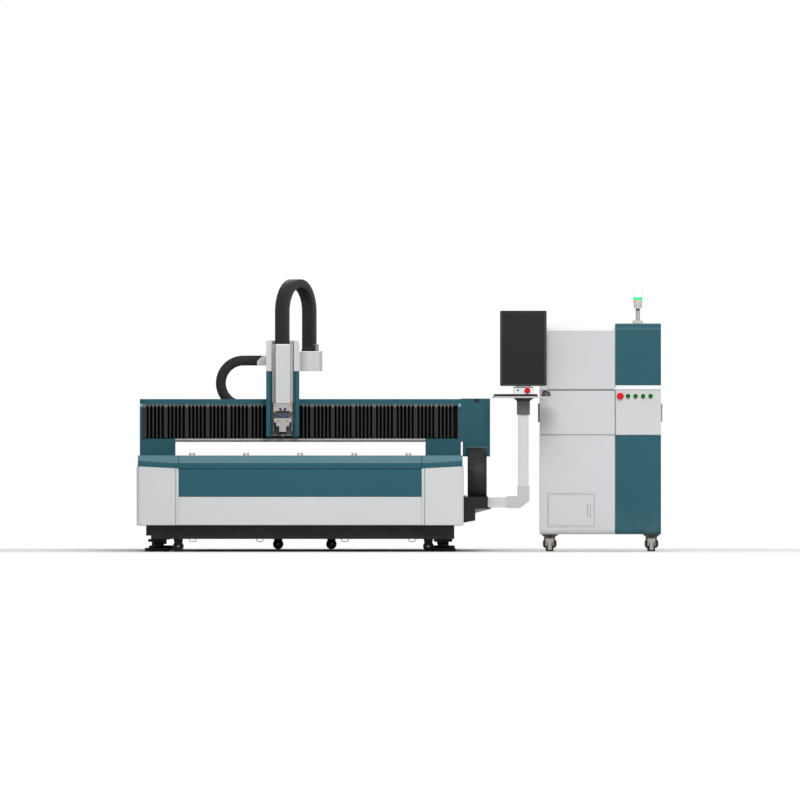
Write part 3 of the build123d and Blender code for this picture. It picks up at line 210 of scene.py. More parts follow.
def blend_colours(tree, share, first, second, blend_type="MIX"):
    """A Mix node on colours, given back as its output."""
    made = wire(tree, "ShaderNodeMix", {0: share, 6: first, 7: second}, data_type="RGBA", blend_type=blend_type)
    return made.outputs[2]


def noise(tree, where, scale, detail=2.0, roughness=0.5):
    """Noise on a coordinate, given back as its value."""
    look = {"Vector": where, "Scale": scale, "Detail": detail, "Roughness": roughness}
    return wire(tree, "ShaderNodeTexNoise", look).outputs["Fac"]


def spread(tree, value, low, high, to_low=0.0, to_high=1.0):
    """A Map Range node, given back as its result."""
    ends = {"Value": value, "From Min": low, "From Max": high, "To Min": to_low, "To Max": to_high}
    return flow(tree, "ShaderNodeMapRange", ends, interpolation_type="SMOOTHSTEP")


def shader_group(name, inputs, outputs):
    """A node group with named sockets, its two end nodes and its tree."""
    tree = bpy.data.node_groups.new(name, "ShaderNodeTree")
    for label, kind, value in inputs:
        made = tree.interface.new_socket(label, in_out="INPUT", socket_type=kind)
        made.default_value = value
    for label, kind in outputs:
        tree.interface.new_socket(label, in_out="OUTPUT", socket_type=kind)
    return tree, tree.nodes.new("NodeGroupInput"), tree.nodes.new("NodeGroupOutput")


GREY = (0.5, 0.5, 0.5, 1.0)
print("shader helpers ready")

# %% [markdown]
# The studio gives off white light, dimmer at the sides, which lets the rounded outer edges fall
# off. Seen directly or in a reflection, it is an even white.

# %% World
FALL_START, FALL_END = 0.4, 0.9
FRONT_LIGHT, SIDE_LIGHT = 0.6, 0.12
STUDIO_WHITE = (1.0, 1.0, 1.0, 1.0)
scene.world = bpy.data.worlds.new("white_studio")
scene.world.use_nodes = True
sky = scene.world.node_tree
sky.nodes.clear()
sideways = sums(sky, "ABSOLUTE", axes(sky, add_node(sky, "ShaderNodeTexCoord").outputs["Generated"])["X"])
falloff = spread(sky, sideways, FALL_START, FALL_END, FRONT_LIGHT, SIDE_LIGHT)
given = flow(sky, "ShaderNodeBackground", {"Color": STUDIO_WHITE, "Strength": falloff})
shown = flow(sky, "ShaderNodeBackground", {"Color": STUDIO_WHITE, "Strength": 1.0})
wire(sky, "ShaderNodeOutputWorld", {0: mix_shaders(sky, seen_share(sky), given, shown)})
print("world", scene.world.name)

# %% [markdown]
# ## Finishes
# Nearly every sheet on this machine is powder coated. Such a coat has a fine, even grain, a very
# slight change of shade over a large panel, and a little dust low down. The grain and the dust
# are used by many finishes, so each is a node group that is built once.

# %% Node group: the grain of a coated or moulded surface
SHADE_TINT = (0.55, 0.55, 0.56, 1.0)
BROAD_SCALE, MOTTLE_SCALE = 1.7, 60.0
grain_group, grain_in, grain_out = shader_group(
    "surface_grain",
    [("Colour", "NodeSocketColor", GREY), ("Shade", "NodeSocketFloat", 0.06),
     ("Grain Scale", "NodeSocketFloat", 900.0), ("Gloss Level", "NodeSocketFloat", 0.4),
     ("Gloss Spread", "NodeSocketFloat", 0.1)],
    [("Colour", "NodeSocketColor"), ("Roughness", "NodeSocketFloat"), ("Height", "NodeSocketFloat")],
)
where = place(grain_group)
fine = noise(grain_group, where, grain_in.outputs["Grain Scale"], 3.0, 0.6)
broad = noise(grain_group, where, BROAD_SCALE, 2.0)
mottle = noise(grain_group, where, MOTTLE_SCALE, 2.0)
shade = sums(grain_group, "MULTIPLY", spread(grain_group, broad, 0.3, 0.7), grain_in.outputs["Shade"])
darker = blend_colours(grain_group, 1.0, grain_in.outputs["Colour"], SHADE_TINT, "MULTIPLY")
feed(grain_group, blend_colours(grain_group, shade, grain_in.outputs["Colour"], darker), grain_out.inputs["Colour"])
uneven = sums(grain_group, "MULTIPLY", sums(grain_group, "SUBTRACT", mottle, 0.5), grain_in.outputs["Gloss Spread"])
feed(grain_group, sums(grain_group, "ADD", grain_in.outputs["Gloss Level"], uneven), grain_out.inputs["Roughness"])
feed(grain_group, fine, grain_out.inputs["Height"])
print("group", grain_group.name)

# %% Node group: dust that settles low on the machine
DUST_COLOUR, DUST_ROUGH = linear(150, 145, 138), (0.8, 0.8, 0.8, 1.0)
PATCH_SCALE = 14.0
dust_group, dust_in, dust_out = shader_group(
    "floor_dust",
    [("Colour", "NodeSocketColor", GREY), ("Roughness", "NodeSocketFloat", 0.4),
     ("Dust", "NodeSocketFloat", 0.25), ("Clean Height", "NodeSocketFloat", 0.35)],
    [("Colour", "NodeSocketColor"), ("Roughness", "NodeSocketFloat")],
)
where = place(dust_group)
low = spread(dust_group, axes(dust_group, where)["Z"], 0.0, dust_in.outputs["Clean Height"], 1.0, 0.0)
patches = spread(dust_group, noise(dust_group, where, PATCH_SCALE, 5.0, 0.6), 0.35, 0.75)
dusty = sums(dust_group, "MULTIPLY", sums(dust_group, "MULTIPLY", low, patches), dust_in.outputs["Dust"])
for label, settled in (("Colour", DUST_COLOUR), ("Roughness", DUST_ROUGH)):
    mixed = blend_colours(dust_group, dusty, dust_in.outputs[label], settled)
    feed(dust_group, mixed, dust_out.inputs[label])
print("group", dust_group.name)

# %% [markdown]
# A finish is then a short call: its colour, how glossy it is, how coarse its grain is and how
# deep the grain stands. Metal and clear coat are plain numbers on the shader itself.

# %% Coated and moulded finishes


def new_finish(name):
    """A new material, its tree and its shader."""
    material = bpy.data.materials.new(name)
    material.use_nodes = True
    return material, material.node_tree, material.node_tree.nodes["Principled BSDF"]


def surface(tree, shader, source, grain, strength, depth):
    """Feed colour, roughness and relief into a shader."""
    feed(tree, source.outputs["Colour"], shader.inputs["Base Color"])
    feed(tree, source.outputs["Roughness"], shader.inputs["Roughness"])
    relief = {"Strength": strength, "Distance": depth, "Height": grain.outputs["Height"]}
    feed(tree, flow(tree, "ShaderNodeBump", relief), shader.inputs["Normal"])


def coated(name, colour, gloss, grain=900.0, bump=0.12, shade=0.08, dust=0.2, metallic=0.0, coat=0.0,
           clean=0.35, shine=0.22):
    """A finish with the surface grain and the floor dust in it."""
    material, tree, shader = new_finish(name)
    look = {"Colour": colour, "Shade": shade, "Grain Scale": grain, "Gloss Level": gloss}
    grain_node = wire(tree, "ShaderNodeGroup", look, node_tree=grain_group)
    settled = {"Dust": dust, "Clean Height": clean, "Colour": grain_node.outputs["Colour"],
               "Roughness": grain_node.outputs["Roughness"]}
    dust_node = wire(tree, "ShaderNodeGroup", settled, node_tree=dust_group)
    surface(tree, shader, dust_node, grain_node, bump, 0.001)
    shader.inputs["Metallic"].default_value = metallic
    shader.inputs["Coat Weight"].default_value = coat
    shader.inputs["Specular IOR Level"].default_value = shine
    return material


TEAL_COLOUR = linear(36, 89, 101)
TEAL = coated("teal_powder_coat", TEAL_COLOUR, 0.42)
PALE = coated("pale_grey_coat", linear(210, 211, 212), 0.45, dust=0.08)
WHITE = coated("white_coat", linear(247, 248, 249), 0.42, dust=0.05, shade=0.03)
BLACK = coated("black_frame_coat", linear(31, 31, 32), 0.5, dust=0.05)
DARK = coated("dark_grey_coat", linear(96, 97, 98), 0.45)
BRONZE = coated("grey_brown_anodised", linear(188, 182, 177), 0.38, metallic=0.2, dust=0.0)
CHAIN = coated("chain_polyamide", linear(37, 37, 38), 0.5, grain=600.0, bump=0.15, dust=0.0, shine=0.2)
BELLOWS = coated("bellows_cloth", linear(16, 16, 17), 0.62, grain=1500.0, bump=0.35, dust=0.0)
BELLOWS_EDGE = coated("bellows_frame", linear(46, 45, 45), 0.42, dust=0.0)
TAB = coated("fold_tab_grey_brown", linear(125, 110, 102), 0.42, dust=0.0)
RUBBER = coated("castor_rubber", linear(46, 46, 47), 0.7, grain=400.0, bump=0.3, dust=0.35)
PLASTIC = coated("black_moulded_plastic", linear(36, 36, 37), 0.48, grain=1400.0, bump=0.18, dust=0.0)
RED = coated("red_button", linear(222, 14, 22), 0.28, bump=0.03, dust=0.0, coat=0.2, shine=0.15)
GREEN = coated("green_button", linear(0, 100, 6), 0.3, bump=0.03, dust=0.0, coat=0.1, shine=0.12)
BLUE = coated("pale_blue_tab", linear(130, 170, 186), 0.4, dust=0.0)
STOP_GREY = coated("sheet_stop_grey", linear(188, 184, 179), 0.4, dust=0.0)
SEAL_GREY_AND_FOLD_SHADE = coated("seal_grey_and_fold_shade", linear(142, 145, 148), 0.6, dust=0.0)
SCREEN = coated("screen_glass", linear(34, 34, 35), 0.42, grain=3000.0, bump=0.02, shade=0.02, dust=0.0, shine=0.15)
BEIGE = coated("warm_grey_moulding", linear(206, 201, 193), 0.42, dust=0.05)
FORK = coated("castor_grey_zinc", linear(98, 94, 87), 0.4, metallic=0.2, dust=0.05)
LEDGE = coated("teal_ledge_painted_top_sheen", TEAL_COLOUR, 0.42, dust=0.0)
FOOT = coated("levelling_foot_black", linear(9, 9, 10), 0.6, dust=0.0, shine=0.1)
FLANGE = coated("folded_flange_grey", linear(186, 183, 180), 0.45, dust=0.0)
FRAME_GREY = coated("screen_frame_grey", linear(66, 66, 67), 0.5, grain=1400.0, dust=0.0, shine=0.1)
FORK_DARK = coated("castor_mount_grey", linear(74, 73, 71), 0.45, metallic=0.2, dust=0.0)
PEDAL = coated("brake_pedal_grey", linear(172, 167, 159), 0.45, dust=0.0)
RUST = coated("brown_end_strip", linear(70, 49, 41), 0.5, dust=0.0)
DEEP_TEAL = coated("teal_seams_and_fold_shade", linear(28, 62, 72), 0.45, dust=0.0)
print("coated finishes made")

# %% [markdown]
# Bare metal is brushed: its roughness runs in streaks, so the noise is stretched along the part.

# %% Node group and finishes for brushed metal
STREAK_SHADE, STREAK_GLOSS = 0.35, 0.22
brush_group, brush_in, brush_out = shader_group(
    "brushed_streaks",
    [("Colour", "NodeSocketColor", GREY), ("Stretch", "NodeSocketVector", (4.0, 4.0, 220.0)),
     ("Gloss Level", "NodeSocketFloat", 0.3)],
    [("Colour", "NodeSocketColor"), ("Roughness", "NodeSocketFloat"), ("Height", "NodeSocketFloat")],
)
stretched = flow(brush_group, "ShaderNodeVectorMath", {0: place(brush_group), 1: brush_in.outputs["Stretch"]},
                 operation="MULTIPLY")
streaks = noise(brush_group, stretched, 1.0, 4.0, 0.6)
bare = brush_in.outputs["Colour"]
streak_shade = sums(brush_group, "MULTIPLY", streaks, STREAK_SHADE)
streak_dark = blend_colours(brush_group, 1.0, bare, GREY, "MULTIPLY")
feed(brush_group, blend_colours(brush_group, streak_shade, bare, streak_dark), brush_out.inputs["Colour"])
streak_gloss = sums(brush_group, "MULTIPLY", streaks, STREAK_GLOSS)
rough = sums(brush_group, "ADD", brush_in.outputs["Gloss Level"], streak_gloss)
feed(brush_group, rough, brush_out.inputs["Roughness"])
feed(brush_group, streaks, brush_out.inputs["Height"])


def brushed(name, colour, gloss, stretch, metallic=0.9):
    """A bare metal finish with streaks."""
    material, tree, shader = new_finish(name)
    look = {"Colour": colour, "Stretch": stretch, "Gloss Level": gloss}
    streak_node = wire(tree, "ShaderNodeGroup", look, node_tree=brush_group)
    surface(tree, shader, streak_node, streak_node, 0.08, 0.0006)
    shader.inputs["Metallic"].default_value = metallic
    return material


STEEL = brushed("ground_steel", linear(168, 168, 170), 0.3, (6.0, 6.0, 260.0))
ZINC = brushed("zinc_plate", linear(176, 177, 180), 0.34, (60.0, 60.0, 60.0))
SLAT = brushed("cut_steel_sheet", linear(140, 139, 137), 0.42, (3.0, 90.0, 120.0))
ALUMINIUM = brushed("satin_aluminium", linear(176, 172, 168), 0.38, (160.0, 160.0, 5.0), 0.5)
print("metals made")

# %% [markdown]
# The signal lamp is a clear cap over a lit green lens, and the head has a dark sensor window with
# lights and marks. The glossy plastic is for the mouse.

# %% Lamp, window and mouse finishes


def plain(name, colour, gloss, metallic=0.0, glow=0.0, coat=0.0):
    """A finish for small clear or lit parts, with a faint unevenness in its gloss."""
    material, tree, shader = new_finish(name)
    smear = spread(tree, noise(tree, place(tree), 25.0, 3.0), 0.3, 0.7, gloss, gloss + 0.08)
    feed(tree, smear, shader.inputs["Roughness"])
    shader.inputs["Base Color"].default_value = colour
    shader.inputs["Metallic"].default_value = metallic
    shader.inputs["Coat Weight"].default_value = coat
    if glow:
        shader.inputs["Emission Color"].default_value = colour
        shader.inputs["Emission Strength"].default_value = glow
    return material


WHITE_LAMP = plain("lamp_clear_cap", linear(246, 250, 248), 0.2, glow=0.2, coat=0.4)
LIT_GREEN = plain("lamp_lit_green", linear(0, 250, 112), 0.25, glow=0.9)
LAMP_GREY = plain("lamp_grey_body", linear(205, 200, 193), 0.4)
WINDOW = plain("sensor_window", linear(34, 36, 40), 0.12, coat=0.8)
LIT_BLUE = plain("blue_indicator", linear(18, 50, 160), 0.45, glow=0.04)
VIOLET = plain("violet_mark", linear(34, 18, 68), 0.55)
GLOSS_BLACK = plain("glossy_black_plastic", linear(26, 26, 27), 0.16, coat=0.5)
print("small finishes made")

# %% [markdown]
# The floor is a pale disc that keeps the shadow of the machine. Its rim would show as an edge
# against the white studio, so towards the rim it turns into the same even white.

# %% Floor finish
FADE_START, FADE_END = 2.9, FLOOR_RADIUS * 0.98
FLOOR = plain("studio_floor", linear(243, 243, 243), 0.75)
floor_tree = FLOOR.node_tree
from_middle = wire(floor_tree, "ShaderNodeVectorMath", {0: place(floor_tree)}, operation="LENGTH")
rim_share = spread(floor_tree, from_middle.outputs["Value"], FADE_START, FADE_END)
fade = sums(floor_tree, "MULTIPLY", rim_share, seen_share(floor_tree))
even_white = flow(floor_tree, "ShaderNodeEmission", {"Color": STUDIO_WHITE, "Strength": 1.0})
floor_coat = floor_tree.nodes["Principled BSDF"].outputs[0]
feed(floor_tree, mix_shaders(floor_tree, fade, floor_coat, even_white),
     floor_tree.nodes["Material Output"].inputs["Surface"])
floor_mesh.materials.append(FLOOR)
print("floor turns white from", FADE_START, "m")

# %% [markdown]
# Each CAD node now takes its finish. The front and the cabinet mix teal and pale sheets.

# %% Finishes on the CAD nodes
FINISHES = {
    LEDGE: ["front_ledge"],
    FOOT: ["levelling_feet"],
    TEAL: ["front_accent_panel", "gantry_legs", "beam", "drive_housing", "carriage_frame", "cabinet_accent_panels",
           "bed_left_wall", "bed_right_wall", "bed_cross_walls"],
    PALE: ["front_lower_panel", "front_corners", "carriage_hood", "head_cover", "cabinet_grey_panels", "access_door",
           "arm_boom", "console_tray", "button_panel"],
    BEIGE: ["tower_stand"],
    WHITE: ["cabinet_body", "control_box"],
    BLACK: ["base_frame", "y_chain_trough"],
    BRONZE: ["beam_sill"],
    STEEL: ["y_rails"],
    STOP_GREY: ["sheet_stops"],
    SLAT: ["slats", "scrap_hopper"],
    FORK: ["castor_fork_left", "castor_fork_right", "rear_castor_forks"],
    ALUMINIUM: ["cutting_head"],
    RUBBER: ["castor_wheel_left", "castor_wheel_right", "rear_castor_wheel_left", "rear_castor_wheel_right",
             "bed_castor_wheel_1", "bed_castor_wheel_2", "bed_castor_wheel_3", "bed_castor_wheel_4"],
    CHAIN: ["x_chain", "y_chain", "z_chain"],
    BELLOWS: ["bellows_left", "bellows_right"],
    PLASTIC: ["monitor", "keyboard", "mouse"],
    RED: ["console_stop_button", "cabinet_stop_button"],
    GREEN: ["start_button_1", "start_button_2", "start_button_3", "start_button_4"],
    WHITE_LAMP: ["tower_lamp"],
}
for finish, nodes in FINISHES.items():
    for node in nodes:
        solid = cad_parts[node]
        solid.data.materials.clear()
        solid.data.materials.append(finish)
print("finished nodes:", sum(len(nodes) for nodes in FINISHES.values()))

# %% [markdown]
# Some solids carry two finishes, one above the other: the foot of the console's post is a casting
# with a darker coat than the tube, the swivel's flare is darker than its collar, and only the tip
# of the nozzle is copper. Such a finish changes with height.

# %% Finishes that change with height
BLUR = 0.0006


def inner_group(material, group):
    """The node in a finish that holds a shared group."""
    return next(node for node in material.node_tree.nodes if node.type == "GROUP" and node.node_tree == group)


def two_tone(material, group, level, lower, upper):
    """Let the colour of a finish change at a height."""
    tree = material.node_tree
    above = spread(tree, axes(tree, place(tree))["Z"], level - BLUR, level + BLUR)
    feed(tree, blend_colours(tree, above, lower, upper), inner_group(material, group).inputs["Colour"])
    return material


CASTING_RISE = 0.155
FLARE_DROP = 0.0225
TIP_RISE = 0.010
casting_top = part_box("arm_post")[0][2] + CASTING_RISE
flare_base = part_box("console_swivel")[1][2] - FLARE_DROP
tip_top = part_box("nozzle")[0][2] + TIP_RISE
ARM = two_tone(coated("post_and_casting_coat", GREY, 0.45, dust=0.08), grain_group, casting_top,
               linear(194, 194, 194), linear(210, 211, 212))
COLLAR = two_tone(coated("collar_and_flare_coat", GREY, 0.45), grain_group, flare_base,
                  linear(98, 99, 100), linear(52, 52, 53))
NOZZLE = two_tone(brushed("nozzle_copper", GREY, 0.3, (80.0, 80.0, 400.0), 0.15), brush_group, tip_top,
                  linear(206, 128, 78), linear(206, 202, 198))
for node, finish in (("arm_post", ARM), ("console_swivel", COLLAR), ("nozzle", NOZZLE)):
    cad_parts[node].data.materials.clear()
    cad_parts[node].data.materials.append(finish)
print("two-tone finishes:", ARM.name, COLLAR.name, NOZZLE.name)

# %% [markdown]
# Faces of the front ledge that point up take a paler teal, a painted sheen of the light from above, so its finish
# changes with the way that a face looks. The bracket beside the carriage is painted darker by the column and paler
# towards its outer edge: painted shade.

# %% Ledge and bracket finishes, with painted sheen and painted shade
LEVEL_START, LEVEL_END = 0.15, 0.4
# Faces of the ledge that point up take a paler teal: a painted sheen.
ledge_tree = LEDGE.node_tree
facing = axes(ledge_tree, add_node(ledge_tree, "ShaderNodeNewGeometry").outputs["Normal"])
painted_sheen_share = spread(ledge_tree, facing["Z"], LEVEL_START, LEVEL_END)
feed(ledge_tree, blend_colours(ledge_tree, painted_sheen_share, TEAL_COLOUR, linear(85, 127, 139)),
     inner_group(LEDGE, grain_group).inputs["Colour"])

# The bracket's face is painted darker by the column and paler towards its outer edge: painted shade.
SHADED_WIDTH = 0.075
BRACKET_PAINTED_SHADE = coated("bracket_painted_shade_coat", GREY, 0.45, dust=0.0)
bracket_tree = BRACKET_PAINTED_SHADE.node_tree
bracket_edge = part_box("carriage_frame")[1][0]
painted_shade_share = spread(bracket_tree, axes(bracket_tree, place(bracket_tree))["X"], bracket_edge, bracket_edge + SHADED_WIDTH)
feed(bracket_tree, blend_colours(bracket_tree, painted_shade_share, linear(166, 166, 167), linear(206, 207, 208)),
     inner_group(BRACKET_PAINTED_SHADE, grain_group).inputs["Colour"])
print("finishes:", LEDGE.name, BRACKET_PAINTED_SHADE.name)

# %% [markdown]
# ## Cable chains
# Three closed chains carry cables to the moving axes: one along the bed, one along the beam and
# one over to the head. Each is a path with a flat band round it and a thin collar at each link.
# A band could be extruded by hand, but Geometry Nodes keep the path, the band and the links as
# three simple steps, and the same tree serves all three.

# %% Helpers for Geometry Nodes


def shape_tree(name, **sockets):
    """A Geometry Nodes tree with inputs listed by kind, its end nodes, and the keys of its inputs."""
    tree = bpy.data.node_groups.new(name, "GeometryNodeTree")
    tree.interface.new_socket("Geometry", in_out="OUTPUT", socket_type="NodeSocketGeometry")
    tree.interface.new_socket("Geometry", in_out="INPUT", socket_type="NodeSocketGeometry")
    keys = {}
    for kind, labels in sockets.items():
        for label in labels:
            made = tree.interface.new_socket(label, in_out="INPUT", socket_type="NodeSocket" + kind)
            keys[label] = made.identifier
    return tree, tree.nodes.new("NodeGroupInput").outputs, tree.nodes.new("NodeGroupOutput"), keys


def paint(tree, geometry, material):
    """Geometry with a material."""
    return flow(tree, "GeometryNodeSetMaterial", {"Geometry": geometry, "Material": material})


def shift(tree, geometry, move, **more):
    """Geometry that is moved and, where given, turned and scaled."""
    return flow(tree, "GeometryNodeTransform", {"Geometry": geometry, "Translation": move, **more})


def join(tree, *parts):
    """Several geometries as one."""
    made = tree.nodes.new("GeometryNodeJoinGeometry")
    for part in parts:
        tree.links.new(part, made.inputs[0])
    return made.outputs[0]


def finished(tree, end, geometry, material=None):
    """End a tree in realized instances and, where one is given, a material."""
    geometry = flow(tree, "GeometryNodeRealizeInstances", {"Geometry": geometry})
    feed(tree, geometry if material is None else paint(tree, geometry, material), end.inputs[0])


def meshed(host, name):
    """Keep the evaluated shape of an object as a plain mesh piece, in place of the object."""
    bpy.context.view_layer.update()
    evaluated = host.evaluated_get(bpy.context.evaluated_depsgraph_get())
    mesh = bpy.data.meshes.new_from_object(evaluated)
    mesh.name = name
    bpy.data.objects.remove(host)
    piece = bpy.data.objects.new(name, mesh)
    scene.collection.objects.link(piece)
    print(name, len(mesh.polygons), "faces")
    return piece


def grown(host, tree, keys, values, name):
    """Run a tree on an object and keep the result as a piece."""
    modifier = host.modifiers.new("grow", "NODES")
    modifier.node_group = tree
    for label, value in values.items():
        modifier[keys[label]] = value
    return meshed(host, name)


def path_object(points):
    """A straight-run path through some points."""
    data = bpy.data.curves.new("path", "CURVE")
    data.dimensions = "3D"
    line = data.splines.new("POLY")
    line.points.add(len(points) - 1)
    for point, spot in zip(line.points, points):
        point.co = (*spot, 1.0)
    host = bpy.data.objects.new("path", data)
    scene.collection.objects.link(host)
    return host


# %% Geometry Nodes: a closed chain along a path
COLLAR_SHARE = 0.1
chain_tree, chain_in, chain_end, chain_keys = shape_tree(
    "closed_chain", Vector=["Across"],
    Float=["Band Width", "Band Height", "Edge Round", "Link Pitch", "Collar Proud"])
across_way = chain_in["Across"]
smooth_path = flow(chain_tree, "GeometryNodeSetCurveNormal",
                   {"Curve": chain_in["Geometry"], "Normal": across_way}, mode="FREE")
outline = flow(chain_tree, "GeometryNodeCurvePrimitiveQuadrilateral",
               {"Width": chain_in["Band Width"], "Height": chain_in["Band Height"]})
soft_outline = flow(chain_tree, "GeometryNodeFilletCurve", {"Curve": outline, "Radius": chain_in["Edge Round"]})
band = flow(chain_tree, "GeometryNodeCurveToMesh",
            {"Curve": smooth_path, "Profile Curve": soft_outline, "Fill Caps": True})
link_path = flow(chain_tree, "GeometryNodeResampleCurve",
                 {"Curve": smooth_path, "Length": chain_in["Link Pitch"]}, mode="LENGTH")
along = chain_tree.nodes.new("GeometryNodeInputTangent").outputs[0]
upright = flow(chain_tree, "FunctionNodeAxesToRotation", {"Primary Axis": along, "Secondary Axis": across_way},
               primary_axis="Z", secondary_axis="X")
collar_size = vector(chain_tree, sums(chain_tree, "ADD", chain_in["Band Width"], chain_in["Collar Proud"]),
                     sums(chain_tree, "ADD", chain_in["Band Height"], chain_in["Collar Proud"]),
                     sums(chain_tree, "MULTIPLY", chain_in["Link Pitch"], COLLAR_SHARE))
collar = flow(chain_tree, "GeometryNodeMeshCube", {"Size": collar_size})
collars = flow(chain_tree, "GeometryNodeInstanceOnPoints",
               {"Points": link_path, "Instance": collar, "Rotation": upright})
finished(chain_tree, chain_end, join(chain_tree, band, collars), CHAIN)
print("tree", chain_tree.name)


def bend(first, turn_centre, radius, last, flat, up=(0.0, 0.0, 1.0), steps=28):
    """Points of a chain: a straight run, half a turn about a centre, and a straight run back."""
    flat, up, turn_centre = Vector(flat), Vector(up), Vector(turn_centre)
    arc = []
    for step in range(steps + 1):
        angle = math.pi * step / steps
        arc.append(turn_centre + up * (radius * math.cos(angle)) - flat * (radius * math.sin(angle)))
    return [Vector(first), *arc, Vector(last)]


def chain_piece(name, node, points, across, width, height, soft, pitch, proud):
    """A chain along some points, in place of the solid that stands for it."""
    sizes = {"Band Width": width, "Band Height": height, "Edge Round": soft, "Link Pitch": pitch,
             "Collar Proud": proud, "Across": across}
    piece = grown(path_object(points), chain_tree, chain_keys, sizes, name)
    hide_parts(node)
    return piece


# %% The chain along the beam and the chain along the bed
chain_low, chain_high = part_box("x_chain")
CHAIN_HEIGHT = 0.070
BEAM_RADIUS = 0.158
LINK_PITCH = 0.056
SIDE_ROOM = 0.004
middle_y = (chain_low[1] + chain_high[1]) / 2
bend_z = (chain_low[2] + chain_high[2]) / 2
bend_x = chain_low[0] + BEAM_RADIUS + CHAIN_HEIGHT / 2
wing_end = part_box("carriage_frame")[0][0]
beam_points = bend((wing_end, middle_y, bend_z + BEAM_RADIUS), (bend_x, middle_y, bend_z), BEAM_RADIUS,
                   (chain_high[0], middle_y, bend_z - BEAM_RADIUS), (1.0, 0.0, 0.0))
beam_chain = chain_piece("beam_cable_chain", "x_chain", beam_points, (0.0, 1.0, 0.0),
                         chain_high[1] - chain_low[1] - SIDE_ROOM, CHAIN_HEIGHT, 0.002, LINK_PITCH, 0.0002)
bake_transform(beam_chain)

chain_low, chain_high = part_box("y_chain")
bed_radius = (chain_high[2] - chain_low[2] - CHAIN_HEIGHT) / 2
middle_x = (chain_low[0] + chain_high[0]) / 2
bend_z = (chain_low[2] + chain_high[2]) / 2
bend_y = chain_low[1] + bed_radius + CHAIN_HEIGHT / 2
gantry_middle = sum(corner[1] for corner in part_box("gantry_legs")) / 2
bed_points = bend((middle_x, gantry_middle, bend_z + bed_radius), (middle_x, bend_y, bend_z), bed_radius,
                  (middle_x, chain_high[1], bend_z - bed_radius), (0.0, 1.0, 0.0))
bed_chain = chain_piece("bed_cable_chain", "y_chain", bed_points, (1.0, 0.0, 0.0),
                        chain_high[0] - chain_low[0], CHAIN_HEIGHT - 0.002, 0.003, LINK_PITCH, 0.0003)
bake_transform(bed_chain)
print("beam and bed chains done")

# %% [markdown]
# The chain to the head stands as an arch that is turned about the vertical, from the top of the
# head cover back to the bracket on the right of the carriage.

# %% The arched chain
ARCH_TURN = math.radians(61.6)
ARCH_BAND = 0.065
ARCH_WIDTH = 0.076
DRAWN_BAND = 0.056
DRAWN_WIDTH = 0.088
ARCH_STEPS = 32
chain_low, chain_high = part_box("z_chain")
cover_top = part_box("head_cover")[1][2]
bracket_top = chain_low[2]
flat = Vector((math.cos(ARCH_TURN), math.sin(ARCH_TURN), 0.0))
half_x = (ARCH_BAND * math.cos(ARCH_TURN) + ARCH_WIDTH * math.sin(ARCH_TURN)) / 2
half_y = (ARCH_BAND * math.sin(ARCH_TURN) + ARCH_WIDTH * math.cos(ARCH_TURN)) / 2
left_leg = Vector((chain_low[0] + half_x, chain_low[1] + half_y, 0.0))
right_leg = Vector((chain_high[0] - half_x, chain_high[1] - half_y, 0.0))
arch_radius = (right_leg - left_leg).length / 2
spring = chain_high[2] - arch_radius - DRAWN_BAND / 2
arch_points = [left_leg + Vector((0.0, 0.0, cover_top))]
arch_centre = (left_leg + right_leg) / 2 + Vector((0.0, 0.0, spring))
for step in range(ARCH_STEPS + 1):
    angle = math.pi * step / ARCH_STEPS
    rise = Vector((0.0, 0.0, arch_radius * math.sin(angle)))
    arch_points.append(arch_centre - flat * (arch_radius * math.cos(angle)) + rise)
arch_points.append(right_leg + Vector((0.0, 0.0, bracket_top)))
across = (math.sin(ARCH_TURN), -math.cos(ARCH_TURN), 0.0)
head_chain = chain_piece("head_cable_chain", "z_chain", arch_points, across, DRAWN_WIDTH, DRAWN_BAND,
                         0.0015, 0.046, 0.0003)
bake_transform(head_chain)
print("arch radius", round(arch_radius, 3))

# %% [markdown]
# ## Bellows
# The guide rails on the beam are covered by bellows. Each is a folded black cloth with a thin
# plate in every fold, and after each fourth plate comes a wide frame. Small rounded tabs hook the
# plates over the lip of the beam's guard. The folds are one zigzag sheet, and the plates are the
# same small shape many times over, so Geometry Nodes place them along a line.

# %% Helpers for small solid pieces


def keep(form, name, finish, body=None, smooth=False):
    """Turn a bmesh into a piece with a finish that rides on a body."""
    bmesh.ops.recalc_face_normals(form, faces=form.faces)
    mesh = bpy.data.meshes.new(name)
    form.to_mesh(mesh)
    form.free()
    for material in finish if isinstance(finish, list) else [finish]:
        mesh.materials.append(material)
    for face in mesh.polygons:
        face.use_smooth = smooth
    piece = bpy.data.objects.new(name, mesh)
    scene.collection.objects.link(piece)
    if body:
        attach(piece, body)
    return piece


def add_slab(form, low, high, soften=0.0, steps=2):
    """Add a block with softened edges to a bmesh."""
    corners = bmesh.ops.create_cube(form, size=1.0)["verts"]
    for corner in corners:
        corner.co = [a + (c + 0.5) * (b - a) for a, b, c in zip(low, high, corner.co)]
    if soften:
        edges = list({edge for corner in corners for edge in corner.link_edges})
        bmesh.ops.bevel(form, geom=edges, offset=soften, segments=steps, affect="EDGES", profile=0.5)


def slabs(name, blocks, soften, finish, body, steps=2):
    """Blocks with softened edges, each from a low and a high corner, as one piece."""
    form = bmesh.new()
    for low, high in blocks:
        add_slab(form, low, high, soften, steps)
    return keep(form, name, finish, body)


def slab(name, low, high, soften, finish, body):
    """One block with softened edges as a piece."""
    return slabs(name, [(low, high)], soften, finish, body)


